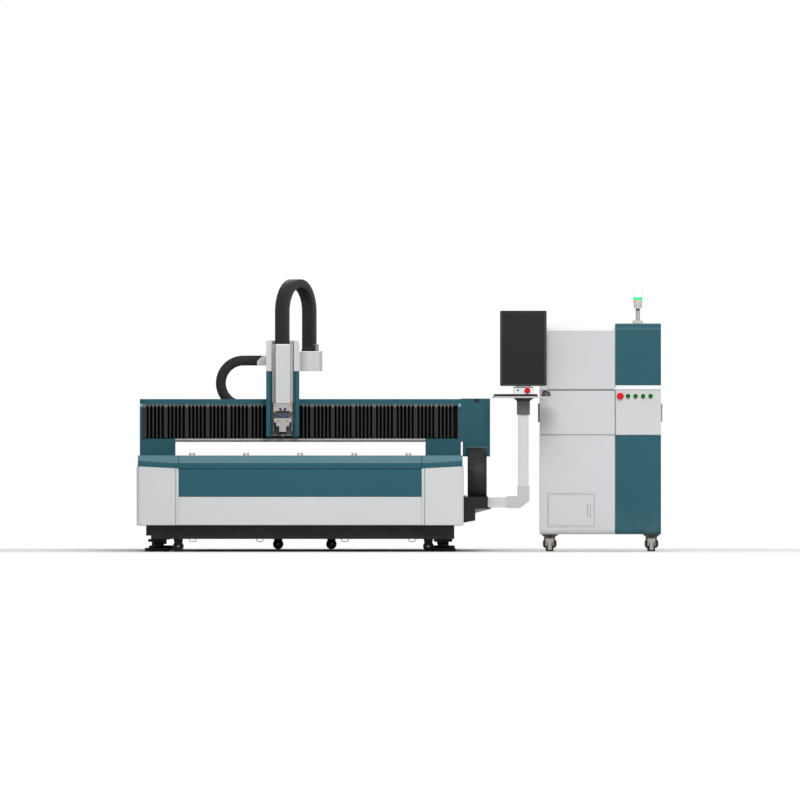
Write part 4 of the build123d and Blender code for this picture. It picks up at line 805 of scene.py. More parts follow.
def turned(name, profile, centre, finish, body, axis="Z", steps=48, bands=None):
    """A piece turned on a lathe from pairs of radius and height. Bands pick the material of each step."""
    form = bmesh.new()
    rings = []
    for radius, height in profile:
        ring = []
        for step in range(steps):
            angle = 2 * math.pi * step / steps
            across, up = radius * math.cos(angle), radius * math.sin(angle)
            offset = {"Z": (across, up, height), "Y": (across, height, up), "X": (height, across, up)}[axis]
            ring.append(form.verts.new([a + b for a, b in zip(centre, offset)]))
        rings.append(ring)
    for index in range(len(rings) - 1):
        for step in range(steps):
            after = (step + 1) % steps
            first, last = rings[index], rings[index + 1]
            face = form.faces.new((first[step], first[after], last[after], last[step]))
            face.material_index = bands[index] if bands else 0
            face.smooth = True
    for ring, index in ((rings[0], 0), (rings[-1], -1)):
        face = form.faces.new(ring)
        face.material_index = bands[index] if bands else 0
    piece = keep(form, name, finish, body, smooth=True)
    piece.data.set_sharp_from_angle(angle=math.radians(35))
    return piece


print("helpers for blocks and turned pieces ready")

# %% Geometry Nodes: fold plates with tabs along a line
TAB_THICK, TAB_FORWARD = 0.003, -0.0095
EYE_SHARE = (0.5, 0.42, 1.2)
HOOK_SHARE, HOOK_DEPTH, HOOK_HEIGHT = 0.8, 0.008, 0.006
HOOK_FORWARD, HOOK_DROP = -0.005, 0.32
FACE_FRONT = (math.pi / 2, 0.0, 0.0)
plate_tree, plate_in, plate_end, plate_keys = shape_tree(
    "fold_plates", Vector=["First", "Step"], Int=["Count"],
    Float=["Plate Width", "Plate Depth", "Plate Height", "Tab Width", "Tab Height", "Tab Rise"])
row = flow(plate_tree, "GeometryNodeMeshLine",
           {"Count": plate_in["Count"], "Start Location": plate_in["First"], "Offset": plate_in["Step"]}, mode="OFFSET")
plate_size = vector(plate_tree, plate_in["Plate Width"], plate_in["Plate Depth"], plate_in["Plate Height"])
plate = flow(plate_tree, "GeometryNodeMeshCube", {"Size": plate_size})
tab = flow(plate_tree, "GeometryNodeMeshCylinder", {"Vertices": 20, "Radius": 0.5, "Depth": 1.0})
tab_shape = vector(plate_tree, plate_in["Tab Width"], plate_in["Tab Height"], TAB_THICK)
tab_place = vector(plate_tree, 0.0, TAB_FORWARD, plate_in["Tab Rise"])
eye_shape = flow(plate_tree, "ShaderNodeVectorMath", {0: tab_shape, 1: EYE_SHARE}, operation="MULTIPLY")
hook_width = sums(plate_tree, "MULTIPLY", plate_in["Tab Width"], HOOK_SHARE)
hook_drop = sums(plate_tree, "MULTIPLY", plate_in["Tab Height"], HOOK_DROP)
hook_rise = sums(plate_tree, "SUBTRACT", plate_in["Tab Rise"], hook_drop)
hook = flow(plate_tree, "GeometryNodeMeshCube", {"Size": vector(plate_tree, hook_width, HOOK_DEPTH, HOOK_HEIGHT)})
whole_plate = join(
    plate_tree,
    paint(plate_tree, plate, BELLOWS_EDGE),
    paint(plate_tree, shift(plate_tree, tab, tab_place, Rotation=FACE_FRONT, Scale=tab_shape), TAB),
    paint(plate_tree, shift(plate_tree, tab, tab_place, Rotation=FACE_FRONT, Scale=eye_shape), DARK),
    paint(plate_tree, shift(plate_tree, hook, vector(plate_tree, 0.0, HOOK_FORWARD, hook_rise)), BELLOWS_EDGE),
)
plates = flow(plate_tree, "GeometryNodeInstanceOnPoints", {"Points": row, "Instance": whole_plate})
finished(plate_tree, plate_end, plates)
print("tree", plate_tree.name)

# %% Where the folds stand, and the cloth between them
BAYS = {"left": 0.1470, "right": 0.1449}
FOLDS = 4
FRAME_GAP = 0.0325
FOLD_GAP = 0.0262
FIRST_FRAME, LAST_FRAME = 0.0145, 0.0075
FRAME_ROOM, PLATE_ROOM = 0.012, 0.008
PLEAT_ROOM, CLOTH = 0.006, 0.003
GUARD_HEIGHT = 0.036
LIP_DROP = 0.011
guard_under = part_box("beam")[1][2] - GUARD_HEIGHT


def start_host():
    """An empty mesh object for a tree to run on."""
    host = bpy.data.objects.new("host", bpy.data.meshes.new("host"))
    scene.collection.objects.link(host)
    return host


def fold_places(low_x, high_x, side):
    """Where the wide frames and the groups of thin plates stand, counted from the fixed end."""
    bay = BAYS[side]
    count = int((high_x - low_x) / bay) + 1
    first = low_x + FIRST_FRAME if side == "left" else high_x - LAST_FRAME - bay * count
    starts = [first + bay * index for index in range(count + 1) if first + bay * index < high_x - FRAME_ROOM]
    frames = [x for x in starts if x > low_x + FRAME_ROOM]
    groups = [[x + FRAME_GAP + FOLD_GAP * fold for fold in range(FOLDS)] for x in starts]
    groups = [[x for x in group if low_x + PLATE_ROOM < x < high_x - PLATE_ROOM] for group in groups]
    return frames, [group for group in groups if group]


def pleated_cloth(low, high, ridges):
    """A sheet that comes forward at each ridge and goes back between them."""
    cloth = bmesh.new()
    depth = high[1] - low[1] - PLEAT_ROOM
    points = [(low[0], low[1] + depth)]
    for index, x in enumerate(ridges):
        points.append((x, low[1] + PLEAT_ROOM))
        after = ridges[index + 1] if index + 1 < len(ridges) else high[0]
        points.append(((x + after) / 2 if after < high[0] else high[0], low[1] + depth))
    front = [[cloth.verts.new((x, y, z)) for z in (low[2], high[2])] for x, y in points]
    back = [[cloth.verts.new((x, y + CLOTH, z)) for z in (low[2], high[2])] for x, y in points]
    for a, b, c, d in zip(front, front[1:], back, back[1:]):
        for corners in ((a[0], b[0], b[1], a[1]), (c[1], d[1], d[0], c[0]),
                        (a[1], b[1], d[1], c[1]), (c[0], d[0], b[0], a[0])):
            cloth.faces.new(corners)
    for first, last in ((front[0], back[0]), (back[-1], front[-1])):
        cloth.faces.new((first[0], first[1], last[1], last[0]))
    return cloth


print("a bay has", FOLDS, "folds")

# %% The two bellows
PLATE_BACK, PLATE_TOP = 0.005, 0.002
TAB_HEIGHT, TAB_ABOVE = 0.026, 0.003
for side, fixed, moving in (("left", 0, 1), ("right", 1, 0)):
    node = "bellows_" + side
    low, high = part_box(node)
    frames, groups = fold_places(low[0], high[0], side)
    cloth = pleated_cloth(low, high, sorted(frames + [x for group in groups for x in group]))
    sheet = keep(cloth, node + "_cloth", BELLOWS)
    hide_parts(node)
    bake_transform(sheet)
    height = guard_under - LIP_DROP - PLATE_TOP - low[2]
    for kind, width, plate_depth, tab_width, rows, step in (
        ("frames", 0.025, 0.0055, 0.026, [frames], BAYS[side]),
        ("plates", 0.0092, 0.004, 0.0105, groups, FOLD_GAP),
    ):
        parts = []
        for line in rows:
            first = (line[0], low[1] + PLATE_BACK, low[2] + height / 2)
            sizes = {"First": first, "Step": (step, 0.0, 0.0), "Count": len(line), "Plate Width": width,
                     "Plate Depth": plate_depth, "Plate Height": height, "Tab Width": tab_width,
                     "Tab Height": TAB_HEIGHT, "Tab Rise": height / 2 + TAB_ABOVE}
            part_name = node + "_" + kind + "_%d" % len(parts)
            parts.append(grown(start_host(), plate_tree, plate_keys, sizes, part_name))
        whole = parts[0]
        if len(parts) > 1:
            with bpy.context.temp_override(active_object=whole, selected_editable_objects=parts):
                bpy.ops.object.join()
        whole.name = node + "_" + kind
        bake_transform(whole)
    print(node, len(frames), "frames")

# %% Lip of the guard, corner clips and end strips
CLIP_WIDTH = 0.019
STRIP_HALF = 0.003
beam_low, beam_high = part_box("beam")
slab("guard_lip", (beam_low[0], beam_low[1] + 0.0002, guard_under - LIP_DROP),
     (beam_high[0], beam_low[1] + 0.0024, guard_under + 0.002), 0.0004, TEAL, "gantry")
for name, column in (("bellows_clip_left", 139.9), ("bellows_clip_right", 458.2)):
    x = at_pixel(column, 0)[0]
    slab(name, (x, beam_low[1] - 0.0035, guard_under - 0.020),
         (x + CLIP_WIDTH, beam_low[1] + 0.001, guard_under + 0.005), 0.0015, BLUE, "gantry")
for name, side, column in (("bellows_strip_left", "left", 143.4), ("bellows_strip_right", "right", 457.7)):
    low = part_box("bellows_" + side)[0]
    x = at_pixel(column, 0)[0]
    slab(name, (x - STRIP_HALF, beam_low[1] + 0.0002, low[2]),
         (x + STRIP_HALF, low[1] + 0.004, guard_under - LIP_DROP - 0.001), 0.0005, RUST, "gantry")
print("lip, clips and end strips done")

# %% [markdown]
# ## Cutting head
# Under its cover the head shows a machined body: a dark sensor window with two blue lights, two
# small violet marks, clamp screws, and guide rods at both sides. These are small, so each is a
# softened block, a turned piece or a cut plate that sits on the face of the solid.

# %% A plate with a drawn outline


def cut_plate(name, outline, depths, finish, body):
    """A flat plate with an outline in X and Z, between two depths in Y."""
    form = bmesh.new()
    first, last = [[form.verts.new((x, y, z)) for x, z in outline] for y in depths]
    form.faces.new(first)
    form.faces.new(last)
    for index in range(len(outline)):
        after = (index + 1) % len(outline)
        form.faces.new((first[index], first[after], last[after], last[index]))
    return keep(form, name, finish, body)


print("plates are cut from an outline and two depths")

# %% Details on the cutting head
BACK_PLATE, HEAD_DEPTH = 0.016, 0.084
WINDOW_LOW, WINDOW_HIGH = 0.935, 0.977
LIGHT_HEIGHT, RECESS_HIGH = 0.948, 0.908
FLANGE_FRONT, FLANGE_BACK = -1.706, -1.700
GUIDE_LENGTH = 0.19
head_low, head_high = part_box("cutting_head")
cover_low, cover_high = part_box("head_cover")
head_x = (cover_low[0] + cover_high[0]) / 2
plate_front = head_high[1] - BACK_PLATE
head_front = plate_front - HEAD_DEPTH
seat_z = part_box("nozzle")[1][2]

slab("head_window", (head_x - 0.047, head_front - 0.006, WINDOW_LOW),
     (head_x + 0.047, head_front + 0.004, WINDOW_HIGH), 0.004, WINDOW, "head")
slab("head_window_hood", (head_x - 0.050, head_front - 0.012, 0.975),
     (head_x + 0.050, head_front + 0.004, 0.983), 0.002, PLASTIC, "head")
for name, offset in (("head_light_left", -0.021), ("head_light_right", 0.021)):
    turned(name, [(0.0085, 0.0), (0.0085, -0.003), (0.006, -0.0045)],
           (head_x + offset, head_front - 0.006, LIGHT_HEIGHT), LIT_BLUE, "head", axis="Y", steps=24)
for name, lean in (("head_mark_left", -1), ("head_mark_right", 1)):
    mark = [(lean * 0.004, 0.985), (lean * 0.021, 0.985), (lean * 0.027, 1.006), (lean * 0.010, 1.004)]
    cut_plate(name, [(head_x + x, z) for x, z in mark], (head_front + 0.001, head_front - 0.0015),
              VIOLET, "head")
slab("head_recess", (head_x - 0.0745, plate_front - 0.0022, head_low[2] + 0.004),
     (head_x + 0.0745, plate_front + 0.001, RECESS_HIGH), 0.0006, DARK, "head")
# These flat strips face the viewer in a darker grey than the pale cover, standing in for the shade on its side returns:
# painted shade.
for name, near, far in (("cover_flange_left", head_x - 0.074, cover_low[0] + 0.003),
                        ("cover_flange_right", cover_high[0] - 0.003, head_x + 0.074)):
    slab(name, (near, FLANGE_FRONT, cover_low[2] + 0.002), (far, FLANGE_BACK, cover_high[2] - 0.002),
         0.0015, FLANGE, "head")
# A white strip along the top of the head cover is a painted highlight.
slab("cover_painted_highlight", (cover_low[0] + 0.005, cover_low[1] - 0.0008, cover_high[2] - 0.0085),
     (cover_high[0] - 0.005, cover_low[1] + 0.004, cover_high[2] - 0.001), 0.0007, WHITE, "head")
turned("head_collet", [(0.026, 0.014), (0.026, -0.006), (0.0225, -0.012), (0.0225, -0.020)],
       (head_x, (head_front + plate_front) / 2, seat_z + 0.006), BLACK, "head", steps=40)
for name, offset in (("head_guide_left", -0.066), ("head_guide_right", 0.066)):
    turned(name, [(0.006, 0.0), (0.006, GUIDE_LENGTH)], (head_x + offset, plate_front - 0.009, seat_z + 0.004),
           FLANGE, "head", steps=20)
print("head front at Y", round(head_front, 3))

# %% Geometry Nodes: screws set out on a row of points
SOCKET_SHARE, SOCKET_PROUD = 0.5, 1.06
screw_tree, screw_in, screw_end, screw_keys = shape_tree(
    "socket_screws", Float=["Screw Radius", "Screw Height"], Material=["Finish"])
screw_head = flow(screw_tree, "GeometryNodeMeshCylinder",
                  {"Vertices": 20, "Radius": screw_in["Screw Radius"], "Depth": screw_in["Screw Height"]})
socket_radius = sums(screw_tree, "MULTIPLY", screw_in["Screw Radius"], SOCKET_SHARE)
socket_depth = sums(screw_tree, "MULTIPLY", screw_in["Screw Height"], SOCKET_PROUD)
socket = flow(screw_tree, "GeometryNodeMeshCylinder", {"Vertices": 6, "Radius": socket_radius, "Depth": socket_depth})
whole_screw = join(screw_tree, paint(screw_tree, screw_head, screw_in["Finish"]), paint(screw_tree, socket, BLACK))
screws = flow(screw_tree, "GeometryNodeInstanceOnPoints",
              {"Points": screw_in["Geometry"], "Instance": whole_screw, "Rotation": FACE_FRONT})
finished(screw_tree, screw_end, screws)


def screw_row(name, places, radius, height, finish, body):
    """Screws that face the viewer, one at each place on the surface."""
    host = start_host()
    host.data.from_pydata(places, [], [])
    sizes = {"Screw Radius": radius, "Screw Height": height, "Finish": finish}
    piece = grown(host, screw_tree, screw_keys, sizes, name)
    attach(piece, body)
    return piece


clamp_y = head_front - 0.001
clamps = [(head_x + side * x, clamp_y, z) for side in (-1, 1) for x, z in ((0.032, 0.913), (0.054, 1.02))]
screw_row("head_screws", clamps, 0.0046, 0.004, DARK, "head")
print("clamp screws", len(clamps))

# %% [markdown]
# The hood over the carriage is folded sheet. Its right bracket carries a clip for the arched
# chain and a return edge. The columns of the carriage show two folds, with painted shade in them.

# %% Carriage bracket details
ARM_HEIGHT = 0.138
CLIP_THICK = 0.004
frame_low, frame_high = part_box("carriage_frame")
hood_low, hood_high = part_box("carriage_hood")
clip_left, clip_low = at_pixel(313, 351)
clip_right, clip_high = at_pixel(318.5, 344)
arm_top = frame_high[2] + ARM_HEIGHT
arm_front = hood_low[1]
leg_front = right_leg[1] - half_y - 0.004
clip_top = arm_top + clip_high - clip_low
slabs("chain_clip", [
    ((clip_left, leg_front - CLIP_THICK, arm_top), (clip_right, leg_front, clip_top)),
    ((clip_right - CLIP_THICK, leg_front - CLIP_THICK, arm_top), (clip_right, leg_front + 0.09, clip_top)),
], 0.001, SEAL_GREY_AND_FOLD_SHADE, "carriage")
corners = [at_pixel(column, row) for column, row in ((300.8, 351.5), (315.4, 351.5), (315.4, 344.5), (302.6, 347.0))]
cut_plate("chain_foot", [(x, max(z, arm_top)) for x, z in corners], (leg_front - 0.005, leg_front),
          PLASTIC, "carriage")
slab("bracket_return", (hood_high[0] - 0.010, arm_front - 0.0015, arm_top - ARM_HEIGHT),
     (hood_high[0] + 0.009, arm_front + 0.004, arm_top), 0.0008, FLANGE, "carriage")
# The bracket's face carries the painted shade by the column.
slab("bracket_face", (frame_high[0] + 0.004, arm_front - 0.0014, arm_top - 0.1365),
     (hood_high[0] - 0.011, arm_front + 0.001, arm_top - 0.0045), 0.0006, BRACKET_PAINTED_SHADE, "carriage")
# A white strip along the bracket's top edge is a painted highlight.
slab("bracket_painted_highlight", (frame_high[0] + 0.004, arm_front - 0.0016, arm_top - 0.0045),
     (hood_high[0] - 0.011, arm_front + 0.004, arm_top + 0.0005), 0.0008, WHITE, "carriage")
# Dark teal strips in the columns' folds are painted shade.
slabs("column_fold_painted_shade", [
    ((at_pixel(first, 0)[0], frame_low[1] - 0.0004, frame_low[2] + 0.004),
     (at_pixel(last, 0)[0], frame_low[1] + 0.002, frame_high[2] - 0.001))
    for first, last in ((270.1, 271.7), (294.4, 296.0))
], 0.0003, DEEP_TEAL, "carriage", steps=1)
print("head and carriage details done")

# %% [markdown]
# ## Operator console
# The screen stands upright on a white box with a stop button. In front of it lie a keyboard and a
# mouse. The keys are one rounded cap many times over, so they are set out by Geometry Nodes.

# %% Screen
BEZEL, BAND = 0.017, 0.0066
BAR_HALF = 0.02
screen_low, screen_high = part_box("monitor")
screen_x = (screen_low[0] + screen_high[0]) / 2
screen_front = screen_low[1]
slab("screen_pane", (screen_low[0] + BEZEL, screen_front + 0.0005, screen_low[2] + BEZEL),
     (screen_high[0] - BEZEL, screen_front + 0.004, screen_high[2] - BEZEL), 0.0006,
     SCREEN, "console")
slabs("screen_frame", [
    ((low_x, screen_front - 0.0005, screen_low[2] + BAND), (high_x, screen_front + 0.002, high_z))
    for low_x, high_x, high_z in (
        (screen_low[0] + BAND, screen_low[0] + BEZEL, screen_high[2] - BEZEL),
        (screen_high[0] - BEZEL, screen_high[0] - BAND, screen_high[2] - BEZEL),
        (screen_low[0] + BEZEL, screen_high[0] - BEZEL, screen_low[2] + BEZEL))
], 0.0004, FRAME_GREY, "console")
slab("screen_sensor_bar", (screen_x - BAR_HALF, screen_front - 0.0008, screen_low[2] + 0.005),
     (screen_x + BAR_HALF, screen_front + 0.002, screen_low[2] + 0.0085), 0.0005, DARK, "console")
print("screen pane inside a bezel of", BEZEL)

# %% Geometry Nodes: key caps on a grid
CAP_ROUND, CAP_TAPER = 0.16, 0.84
key_tree, key_in, key_end, key_keys = shape_tree(
    "key_caps", Vector=["Centre"], Int=["Columns", "Rows"], Float=["Span X", "Span Y", "Cap", "Cap Height"])
grid = flow(key_tree, "GeometryNodeMeshGrid",
            {"Size X": key_in["Span X"], "Size Y": key_in["Span Y"], "Vertices X": key_in["Columns"],
             "Vertices Y": key_in["Rows"]})
cap_foot = flow(key_tree, "GeometryNodeCurvePrimitiveQuadrilateral", {"Width": key_in["Cap"], "Height": key_in["Cap"]})
cap_radius = sums(key_tree, "MULTIPLY", key_in["Cap"], CAP_ROUND)
cap_round = flow(key_tree, "GeometryNodeFilletCurve", {"Curve": cap_foot, "Radius": cap_radius})
cap_face = flow(key_tree, "GeometryNodeFillCurve", {"Curve": cap_round})
cap = wire(key_tree, "GeometryNodeExtrudeMesh", {"Mesh": cap_face, "Offset Scale": key_in["Cap Height"]})
taper = flow(key_tree, "GeometryNodeScaleElements",
             {"Geometry": cap.outputs[0], "Selection": cap.outputs[1], "Scale": CAP_TAPER})
caps = flow(key_tree, "GeometryNodeInstanceOnPoints",
            {"Points": shift(key_tree, grid, key_in["Centre"]), "Instance": taper})
finished(key_tree, key_end, caps, BELLOWS_EDGE)
print("tree", key_tree.name)

# %% Keys
KEY_ROWS, KEY_CAP, KEY_HEIGHT, KEY_SINK = 5, 0.0135, 0.0042, 0.003
KEY_SPAN = 0.76
board_low, board_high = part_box("keyboard")
board_y = (board_low[1] + board_high[1]) / 2
board_width, board_depth = board_high[0] - board_low[0], board_high[1] - board_low[1]
for name, share, span, columns in (("letter_keys", 0.36, 0.66, 12), ("number_keys", 0.86, 0.17, 4)):
    key_centre = (board_low[0] + board_width * share, board_y, board_high[2] - KEY_SINK)
    sizes = {"Centre": key_centre, "Span X": board_width * span, "Span Y": board_depth * KEY_SPAN,
             "Columns": columns, "Rows": KEY_ROWS, "Cap": KEY_CAP, "Cap Height": KEY_HEIGHT}
    keys = grown(start_host(), key_tree, key_keys, sizes, name)
    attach(keys, "console")
    print(name, columns * KEY_ROWS)

# %% Mouse wheel, socket and painted shadow strip of the control box, plate under the tray
mouse_low, mouse_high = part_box("mouse")
mouse_x = (mouse_low[0] + mouse_high[0]) / 2
turned("mouse_wheel", [(0.006, -0.004), (0.0085, -0.002), (0.0085, 0.002), (0.006, 0.004)],
       (mouse_x, mouse_low[1] + 0.022, mouse_high[2] - 0.010), DARK, "console", axis="X", steps=28)
box_low, box_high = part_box("control_box")
socket_x, socket_z = at_pixel(518, 390)
turned("control_socket", [(0.0062, 0.0), (0.0062, -0.004), (0.0045, -0.004), (0.0045, -0.001), (0.002, -0.001)],
       (socket_x, box_low[1], socket_z), PLASTIC, "console", axis="Y", steps=28)
# A dark strip under the top edge of the control box is a painted shadow.
slab("box_top_painted_shadow", (box_low[0], box_low[1] - 0.0003, box_high[2] - 0.010),
     (box_high[0], box_low[1] + 0.003, box_high[2] - 0.003), 0.0002, DARK, "console")

FLARE_HALF = 0.068
flare_low, flare_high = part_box("console_swivel")
flare_y = (flare_low[1] + flare_high[1]) / 2
tray_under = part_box("console_tray")[0][2]
slab("flare_plate", (at_pixel(514, 0)[0], flare_y - FLARE_HALF, tray_under - 0.0085),
     (at_pixel(533.1, 0)[0], flare_y + FLARE_HALF, tray_under + 0.001), 0.001, PLASTIC, "console")
print("tray at", round(tray_under, 3))

# %% [markdown]
# Each push button goes down inside a thin ring. A ring is a small profile carried round a circle,
# and it sits on the panel.

# %% Button rings
RING_STEPS = 40
RING_GAP, RING_PROUD = 0.0008, 0.0035
STOP_WIDTH, START_WIDTH = 0.002, 0.0028


def ring(name, centre, inner, outer, proud, finish, body, slot):
    """A bezel ring on a panel that faces the viewer."""
    form = bmesh.new()
    profile = ((inner, 0.0), (inner, -proud), (outer * 0.96, -proud), (outer, -proud * 0.4), (outer, 0.0))
    angles = [2 * math.pi * step / RING_STEPS for step in range(RING_STEPS)]
    loops = []
    for radius, y in profile:
        loops.append([form.verts.new((centre[0] + radius * math.cos(angle), centre[1] + y,
                                      centre[2] + radius * math.sin(angle))) for angle in angles])
    for index in range(len(loops)):
        first, last = loops[index], loops[(index + 1) % len(loops)]
        for step in range(RING_STEPS):
            after = (step + 1) % RING_STEPS
            form.faces.new((first[step], first[after], last[after], last[step]))
    return keep(form, name, finish, body, smooth=True)


for node, panel, body, width in (
    ("console_stop_button", "control_box", "console", STOP_WIDTH),
    ("cabinet_stop_button", "button_panel", "bed", STOP_WIDTH),
    ("start_button_1", "button_panel", "bed", START_WIDTH),
    ("start_button_2", "button_panel", "bed", START_WIDTH),
    ("start_button_3", "button_panel", "bed", START_WIDTH),
    ("start_button_4", "button_panel", "bed", START_WIDTH),
):
    low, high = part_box(node)
    inner = (high[0] - low[0]) / 2 + RING_GAP
    centre = ((low[0] + high[0]) / 2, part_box(panel)[0][1], (low[2] + high[2]) / 2)
    ring(node + "_ring", centre, inner, inner + width, RING_PROUD, WHITE, body, "white_paint")
print("console details done")

# %% [markdown]
# ## Signal tower
# The lamp is a stack on a short post: a grey body, a thin pink gasket, a lit green lens and a
# clear cap. It is turned in one go, and each band of the profile takes its own material.

# %% Tower lamp
RIM_DEPTH = 0.004
lamp_low, lamp_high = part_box("tower_lamp")
lamp_x = (lamp_low[0] + lamp_high[0]) / 2
lamp_y = (lamp_low[1] + lamp_high[1]) / 2
lamp_r = (lamp_high[0] - lamp_low[0]) / 2
lamp_top = lamp_high[2]
GASKET = plain("lamp_pink_gasket", linear(236, 168, 182), 0.4)
levels = [at_pixel(0, row)[1] for row in (308.4, 306, 300.9, 299.8, 297.0, 289.5)]
stack = [(0.80, lamp_low[2]), (0.80, levels[0]), (0.88, levels[1]), (0.94, levels[2]), (0.94, levels[2]),
         (0.94, levels[3]), (0.98, levels[3]), (0.98, levels[4]), (0.95, levels[4]),
         (0.93, levels[5]), (0.82, lamp_top)]
tower_light = turned("tower_light", [(lamp_r * share, max(height, lamp_low[2])) for share, height in stack],
                     (lamp_x, lamp_y, 0.0), [LAMP_GREY, GASKET, LIT_GREEN, WHITE_LAMP], "bed",
                     bands=[0, 0, 0, 0, 1, 2, 2, 2, 3, 3])
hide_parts("tower_lamp")
rim = [(0.60, lamp_top - RIM_DEPTH), (0.60, lamp_top), (0.83, lamp_top), (0.84, lamp_top - RIM_DEPTH)]
turned("lamp_rim", [(lamp_r * share, height) for share, height in rim], (lamp_x, lamp_y, 0.0),
       LAMP_GREY, "bed", steps=40)
print("lamp radius", round(lamp_r, 4))

# %% [markdown]
# ## Bed and base
# Small things finish the front: the housing's cover with its latch, strips beside the chain, a
# plate under the boom, the axle caps of the castors, and wire loops for straps under the base.

# %% Housing cover and latch
SEAM = 0.0016
house_low, house_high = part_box("drive_housing")
front = house_low[1]
left, top = at_pixel(465.6, 401.5)
right, bottom = at_pixel(486.7, 446)
slabs("housing_cover_seam", [
    ((low_x, front - 0.0006, low_z), (high_x, front + 0.002, top))
    for low_x, high_x, low_z in ((left, right, top - SEAM), (left, left + SEAM, bottom), (right - SEAM, right, bottom))
], 0.0003, DEEP_TEAL, "gantry", steps=1)
slab("housing_latch", (at_pixel(474.5, 0)[0], front - 0.012, house_high[2] - 0.022),
     (at_pixel(479, 0)[0], front + 0.002, house_high[2] - 0.0005), 0.003, PLASTIC, "gantry")
cover_screws = [(x, front - 0.001, z) for x in (left + 0.008, right - 0.008) for z in (top - 0.010, bottom + 0.012)]
screw_row("housing_screws", cover_screws, 0.0038, 0.003, BLACK, "gantry")
print("cover screws", len(cover_screws))

# %% Teal strips beside the chain in the housing's slot
STRIP_WIDE, STRIP_GAP = 0.012, 0.0004
bed_low, bed_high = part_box("y_chain")
slot_top = bed_high[2] + STRIP_WIDE
slabs("slot_strips", [
    ((low_x, front + 0.0005, low_z), (high_x, front + 0.006, slot_top)) for low_x, high_x, low_z in (
        (bed_low[0] - STRIP_WIDE, bed_low[0] - STRIP_GAP, house_low[2]),
        (bed_high[0] + STRIP_GAP, bed_high[0] + STRIP_WIDE, house_low[2]),
        (bed_low[0] - STRIP_WIDE, bed_high[0] + STRIP_WIDE, bed_high[2] + STRIP_GAP))
], 0.0004, TEAL, "gantry")
print("slot up to", round(slot_top, 3))

# %% Plate under the console's boom
boom_low, boom_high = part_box("arm_boom")
slab("boom_plate", (boom_low[0] + 0.002, boom_low[1] - 0.003, at_pixel(0, 508.6)[1]),
     (at_pixel(489.6, 0)[0], boom_high[1] + 0.003, at_pixel(0, 507.2)[1]), 0.001, BLACK, "bed")
print("boom plate done")

# %% Castor axle caps
FORK_FRONT = 0.0105
for index in (1, 2, 3, 4):
    low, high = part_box("bed_castor_wheel_%d" % index)
    axle = ((low[0] + high[0]) / 2, low[1] - FORK_FRONT, (low[2] + high[2]) / 2)
    turned("bed_castor_cap_%d" % index, [(0.011, 0.004), (0.011, -0.002), (0.008, -0.0045), (0.003, -0.005)],
           axle, ZINC, "bed", axis="Y", steps=28)
print("axle caps done")

# %% Strap loops: a bent wire for each
LOOP_WIRE, LOOP_BACK = 0.003, 0.05
LOOP_ROUTE = [(-0.024, 0.004), (-0.024, -0.006), (-0.017, -0.017), (0.017, -0.017), (0.024, -0.006), (0.024, 0.004)]
loop_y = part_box("base_frame")[0][1] + LOOP_BACK
beam_under = at_pixel(0, 538.8)[1]
for index, column in enumerate((193, 260, 345, 412)):
    x = at_pixel(column, 0)[0]
    host = path_object([(x + across, loop_y, beam_under + up) for across, up in LOOP_ROUTE])
    host.data.bevel_depth = LOOP_WIRE
    host.data.bevel_resolution = 2
    loop = meshed(host, "strap_loop_%d" % index)
    loop.data.materials.clear()
    loop.data.materials.append(STEEL)
    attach(loop, "bed")
print("bed details done")

# %% [markdown]
# ## Cabinet
# The panels of the cabinet meet at grey rubber seals, and a white filler closes the slot over the
# button panel. The signal tower's pole has wiring grooves. The swivel castors have brake pedals
# in front of their wheels.

# %% Seals and filler
SEAL_HALF, SEAL_BACK = 0.0032, 0.006
SEAL_SOFT = 0.0006
panel_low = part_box("cabinet_grey_panels")[0]
button_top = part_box("button_panel")[1][2]
accent_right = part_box("cabinet_accent_panels")[1][0] - 0.002
body_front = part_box("cabinet_body")[0][1]
seam_x = at_pixel(615.7, 0)[0]
upper_seam, lower_seam = at_pixel(0, 390.4)[1], at_pixel(0, 434.8)[1]
face_y = panel_low[1]
level_seals = [((panel_low[0] + 0.006, face_y - 0.0008, seam_z - SEAL_HALF),
                (seam_x, face_y + SEAL_BACK, seam_z + SEAL_HALF)) for seam_z in (upper_seam, lower_seam)]
upright_seal = ((seam_x - SEAL_HALF, face_y - 0.001, lower_seam - SEAL_HALF),
                (seam_x + SEAL_HALF, face_y + SEAL_BACK, upper_seam + SEAL_HALF))
slabs("panel_seals", [*level_seals, upright_seal], SEAL_SOFT, SEAL_GREY_AND_FOLD_SHADE, "bed")
slab("slot_filler", (seam_x + SEAL_HALF, face_y + 0.001, button_top + 0.003),
     (accent_right, body_front + 0.02, at_pixel(0, 385.2)[1] - 0.001), 0.0015, WHITE, "bed")
slab("filler_seal", (seam_x + SEAL_HALF, face_y - 0.0004, button_top - 0.001),
     (accent_right, face_y + SEAL_BACK, button_top + 0.0036), SEAL_SOFT, SEAL_GREY_AND_FOLD_SHADE, "bed")
print("seals done")

# %% Grooves of the tower's pole
SLOT_HALF, GROOVE_HALF = 0.005, 0.0018
stand_low, stand_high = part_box("tower_stand")
slabs("tower_slots", [
    ((lamp_x + offset - SLOT_HALF, lamp_y - 0.0165, stand_high[2] - 0.015),
     (lamp_x + offset + SLOT_HALF, lamp_y - 0.010, stand_high[2] - 0.001)) for offset in (-0.0065, 0.0065)
], 0.001, BLACK, "bed")
slabs("tower_grooves", [
    ((lamp_x + offset - GROOVE_HALF, lamp_y - 0.0164, stand_low[2] + 0.022),
     (lamp_x + offset + GROOVE_HALF, lamp_y - 0.010, stand_high[2] - 0.016)) for offset in (-0.010, 0.0, 0.010)
], 0.0008, SEAL_GREY_AND_FOLD_SHADE, "bed")
print("pole from", round(stand_low[2], 3), "to", round(stand_high[2], 3))

